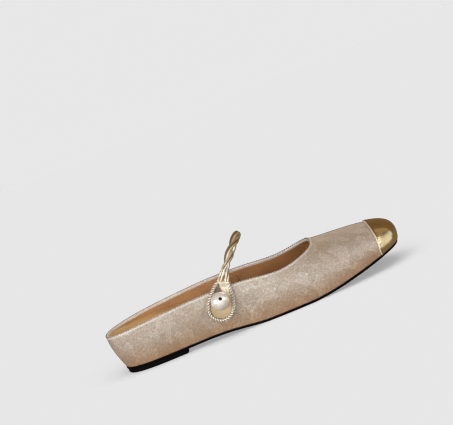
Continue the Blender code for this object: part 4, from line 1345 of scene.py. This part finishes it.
def set_world():
    """Plain pale backdrop. The room that lights and mirrors in the shoe is pale in front and dim and warm above and behind."""
    world = bpy.data.worlds.new("studio")
    bpy.context.scene.world = world
    world.use_nodes = True
    t = world.node_tree
    t.nodes.clear()
    out = t.nodes.new("ShaderNodeOutputWorld")
    seen = t.nodes.new("ShaderNodeBackground")
    seen.inputs["Color"].default_value = srgb(231, 231, 231)
    way = t.nodes.new("ShaderNodeTexCoord")
    parts = t.nodes.new("ShaderNodeSeparateXYZ")
    t.links.new(way.outputs["Generated"], parts.inputs[0])

    def step(value, low, high):
        n = t.nodes.new("ShaderNodeMapRange")
        n.interpolation_type = "SMOOTHSTEP"
        n.inputs["From Min"].default_value = low
        n.inputs["From Max"].default_value = high
        t.links.new(value, n.inputs["Value"])
        return n.outputs["Result"]

    facing = t.nodes.new("ShaderNodeVectorMath")
    facing.operation = "DOT_PRODUCT"
    facing.inputs[1].default_value = (-0.12, -0.993, 0.0)
    t.links.new(way.outputs["Generated"], facing.inputs[0])
    front = step(facing.outputs["Value"], -0.05, 0.65)
    low = step(parts.outputs["Z"], 0.85, 0.45)
    both = t.nodes.new("ShaderNodeMath")
    both.operation = "MULTIPLY"
    t.links.new(front, both.inputs[0])
    t.links.new(low, both.inputs[1])
    tone = t.nodes.new("ShaderNodeMix")
    tone.data_type = "RGBA"
    t.links.new(both.outputs[0], tone.inputs["Factor"])
    tone.inputs[6].default_value = (0.210, 0.125, 0.060, 1.0)
    tone.inputs[7].default_value = (0.520, 0.510, 0.500, 1.0)
    lit = t.nodes.new("ShaderNodeBackground")
    t.links.new(tone.outputs[2], lit.inputs["Color"])
    path = t.nodes.new("ShaderNodeLightPath")
    mix = t.nodes.new("ShaderNodeMixShader")
    t.links.new(path.outputs["Is Camera Ray"], mix.inputs[0])
    t.links.new(lit.outputs[0], mix.inputs[1])
    t.links.new(seen.outputs[0], mix.inputs[2])
    t.links.new(mix.outputs[0], out.inputs["Surface"])


def disc(name, radius, material):
    mesh = bpy.data.meshes.new(name)
    bm = bmesh.new()
    bmesh.ops.create_circle(bm, cap_ends=True, segments=96, radius=radius)
    bm.to_mesh(mesh)
    bm.free()
    mesh.materials.append(material)
    obj = bpy.data.objects.new(name, mesh)
    bpy.context.scene.collection.objects.link(obj)
    return obj


def set_stage():
    scene = bpy.context.scene
    scene.view_settings.view_transform = "Standard"
    scene.view_settings.look = "None"
    set_world()
    floor = disc("floor", 2.5, Paint("floor", srgb(112, 96, 80), 0.8).m)
    floor.is_shadow_catcher = True
    # glowing cards that the camera doesn't see and that light nothing, seen only mirrored as painted reflections: on
    # the floor and upright beside the toe, and on the floor before the pearl
    glow = Paint("white_card", (0.0, 0.0, 0.0, 1.0), 0.9)
    glow.s.inputs["Emission Color"].default_value = (0.90, 0.93, 1.0, 1.0)
    glow.s.inputs["Emission Strength"].default_value = 1.1
    white = disc("white_card", 0.107, glow.m)
    white.location = (0.310, -0.105, 0.0008)
    white.scale = (1.6, 1.12, 1.0)
    fade = Paint("side_card", (0.0, 0.0, 0.0, 1.0), 0.9)
    fade.s.inputs["Emission Color"].default_value = (0.90, 0.93, 1.0, 1.0)
    up = fade.node("ShaderNodeSeparateXYZ")
    fade.link(fade.coords(), up.inputs[0])
    fade.link(fade.ramp(up.outputs["X"], -0.06, 0.17, 1.15, 0.12), fade.s.inputs["Emission Strength"])
    side = disc("side_card", 0.18, fade.m)
    side.location = (0.47, -0.078, 0.105)
    side.scale = (1.0, 1.18, 1.0)
    side.rotation_euler = (0.0, math.radians(-90.0), math.radians(-13.0))
    warm = Paint("warm_card", (0.0, 0.0, 0.0, 1.0), 0.9)
    warm.s.inputs["Emission Color"].default_value = (1.0, 0.86, 0.66, 1.0)
    warm.s.inputs["Emission Strength"].default_value = 0.75
    below = disc("warm_card", 0.12, warm.m)
    below.location = (-0.03, -0.190, 0.0008)
    for card in (white, side, below):
        card.visible_camera = card.visible_shadow = card.visible_diffuse = False

    lights = [
        set_light("key", (-0.95, -1.20, 0.50), (0, 0, 0.03), (0.9, 0.75), 8.3),
        set_light("fill", (1.15, -0.92, 0.45), (0, 0, 0.03), (0.75, 0.75), 7.0),
        set_light("strip", (-0.25, -1.55, 0.16), (0, 0, 0.03), (2.0, 0.30), 10.0, (0.97, 0.985, 1.0)),
        set_light("heel_side", (-1.36, -0.52, 0.36), (0, 0, 0.03), (0.7, 0.7), 8.0),
        set_light("back", (0.3, 1.3, 0.8), (0, 0, 0.03), (1.2, 0.8), 19.0, (1.0, 0.92, 0.78), glossy=False),
        set_light("right", (0.95, -0.02, 0.92), (0.1, 0, 0.03), (1.1, 1.1), 0.7, (1.0, 0.86, 0.62)),
    ]
    # the floor has a wide light of its own straight above, so that its shadow is soft and close
    skip = bpy.data.collections.new("not_floor")
    skip.objects.link(floor)
    skip.collection_objects[0].light_linking.link_state = "EXCLUDE"
    for lamp in lights:
        lamp.light_linking.receiver_collection = skip
    only = bpy.data.collections.new("floor_only")
    only.objects.link(floor)
    above = set_light("floor_light", (0, -0.2, 1.3), (0, 0, 0), (3.0, 3.0), 15.0, glossy=False)
    even = set_light("floor_even", (0, -0.2, 2.6), (0, 0, 0), (3.0, 3.0), 84.0, glossy=False)
    even.data.use_shadow = False
    for lamp in (above, even):
        lamp.light_linking.receiver_collection = only


set_camera()
set_stage()
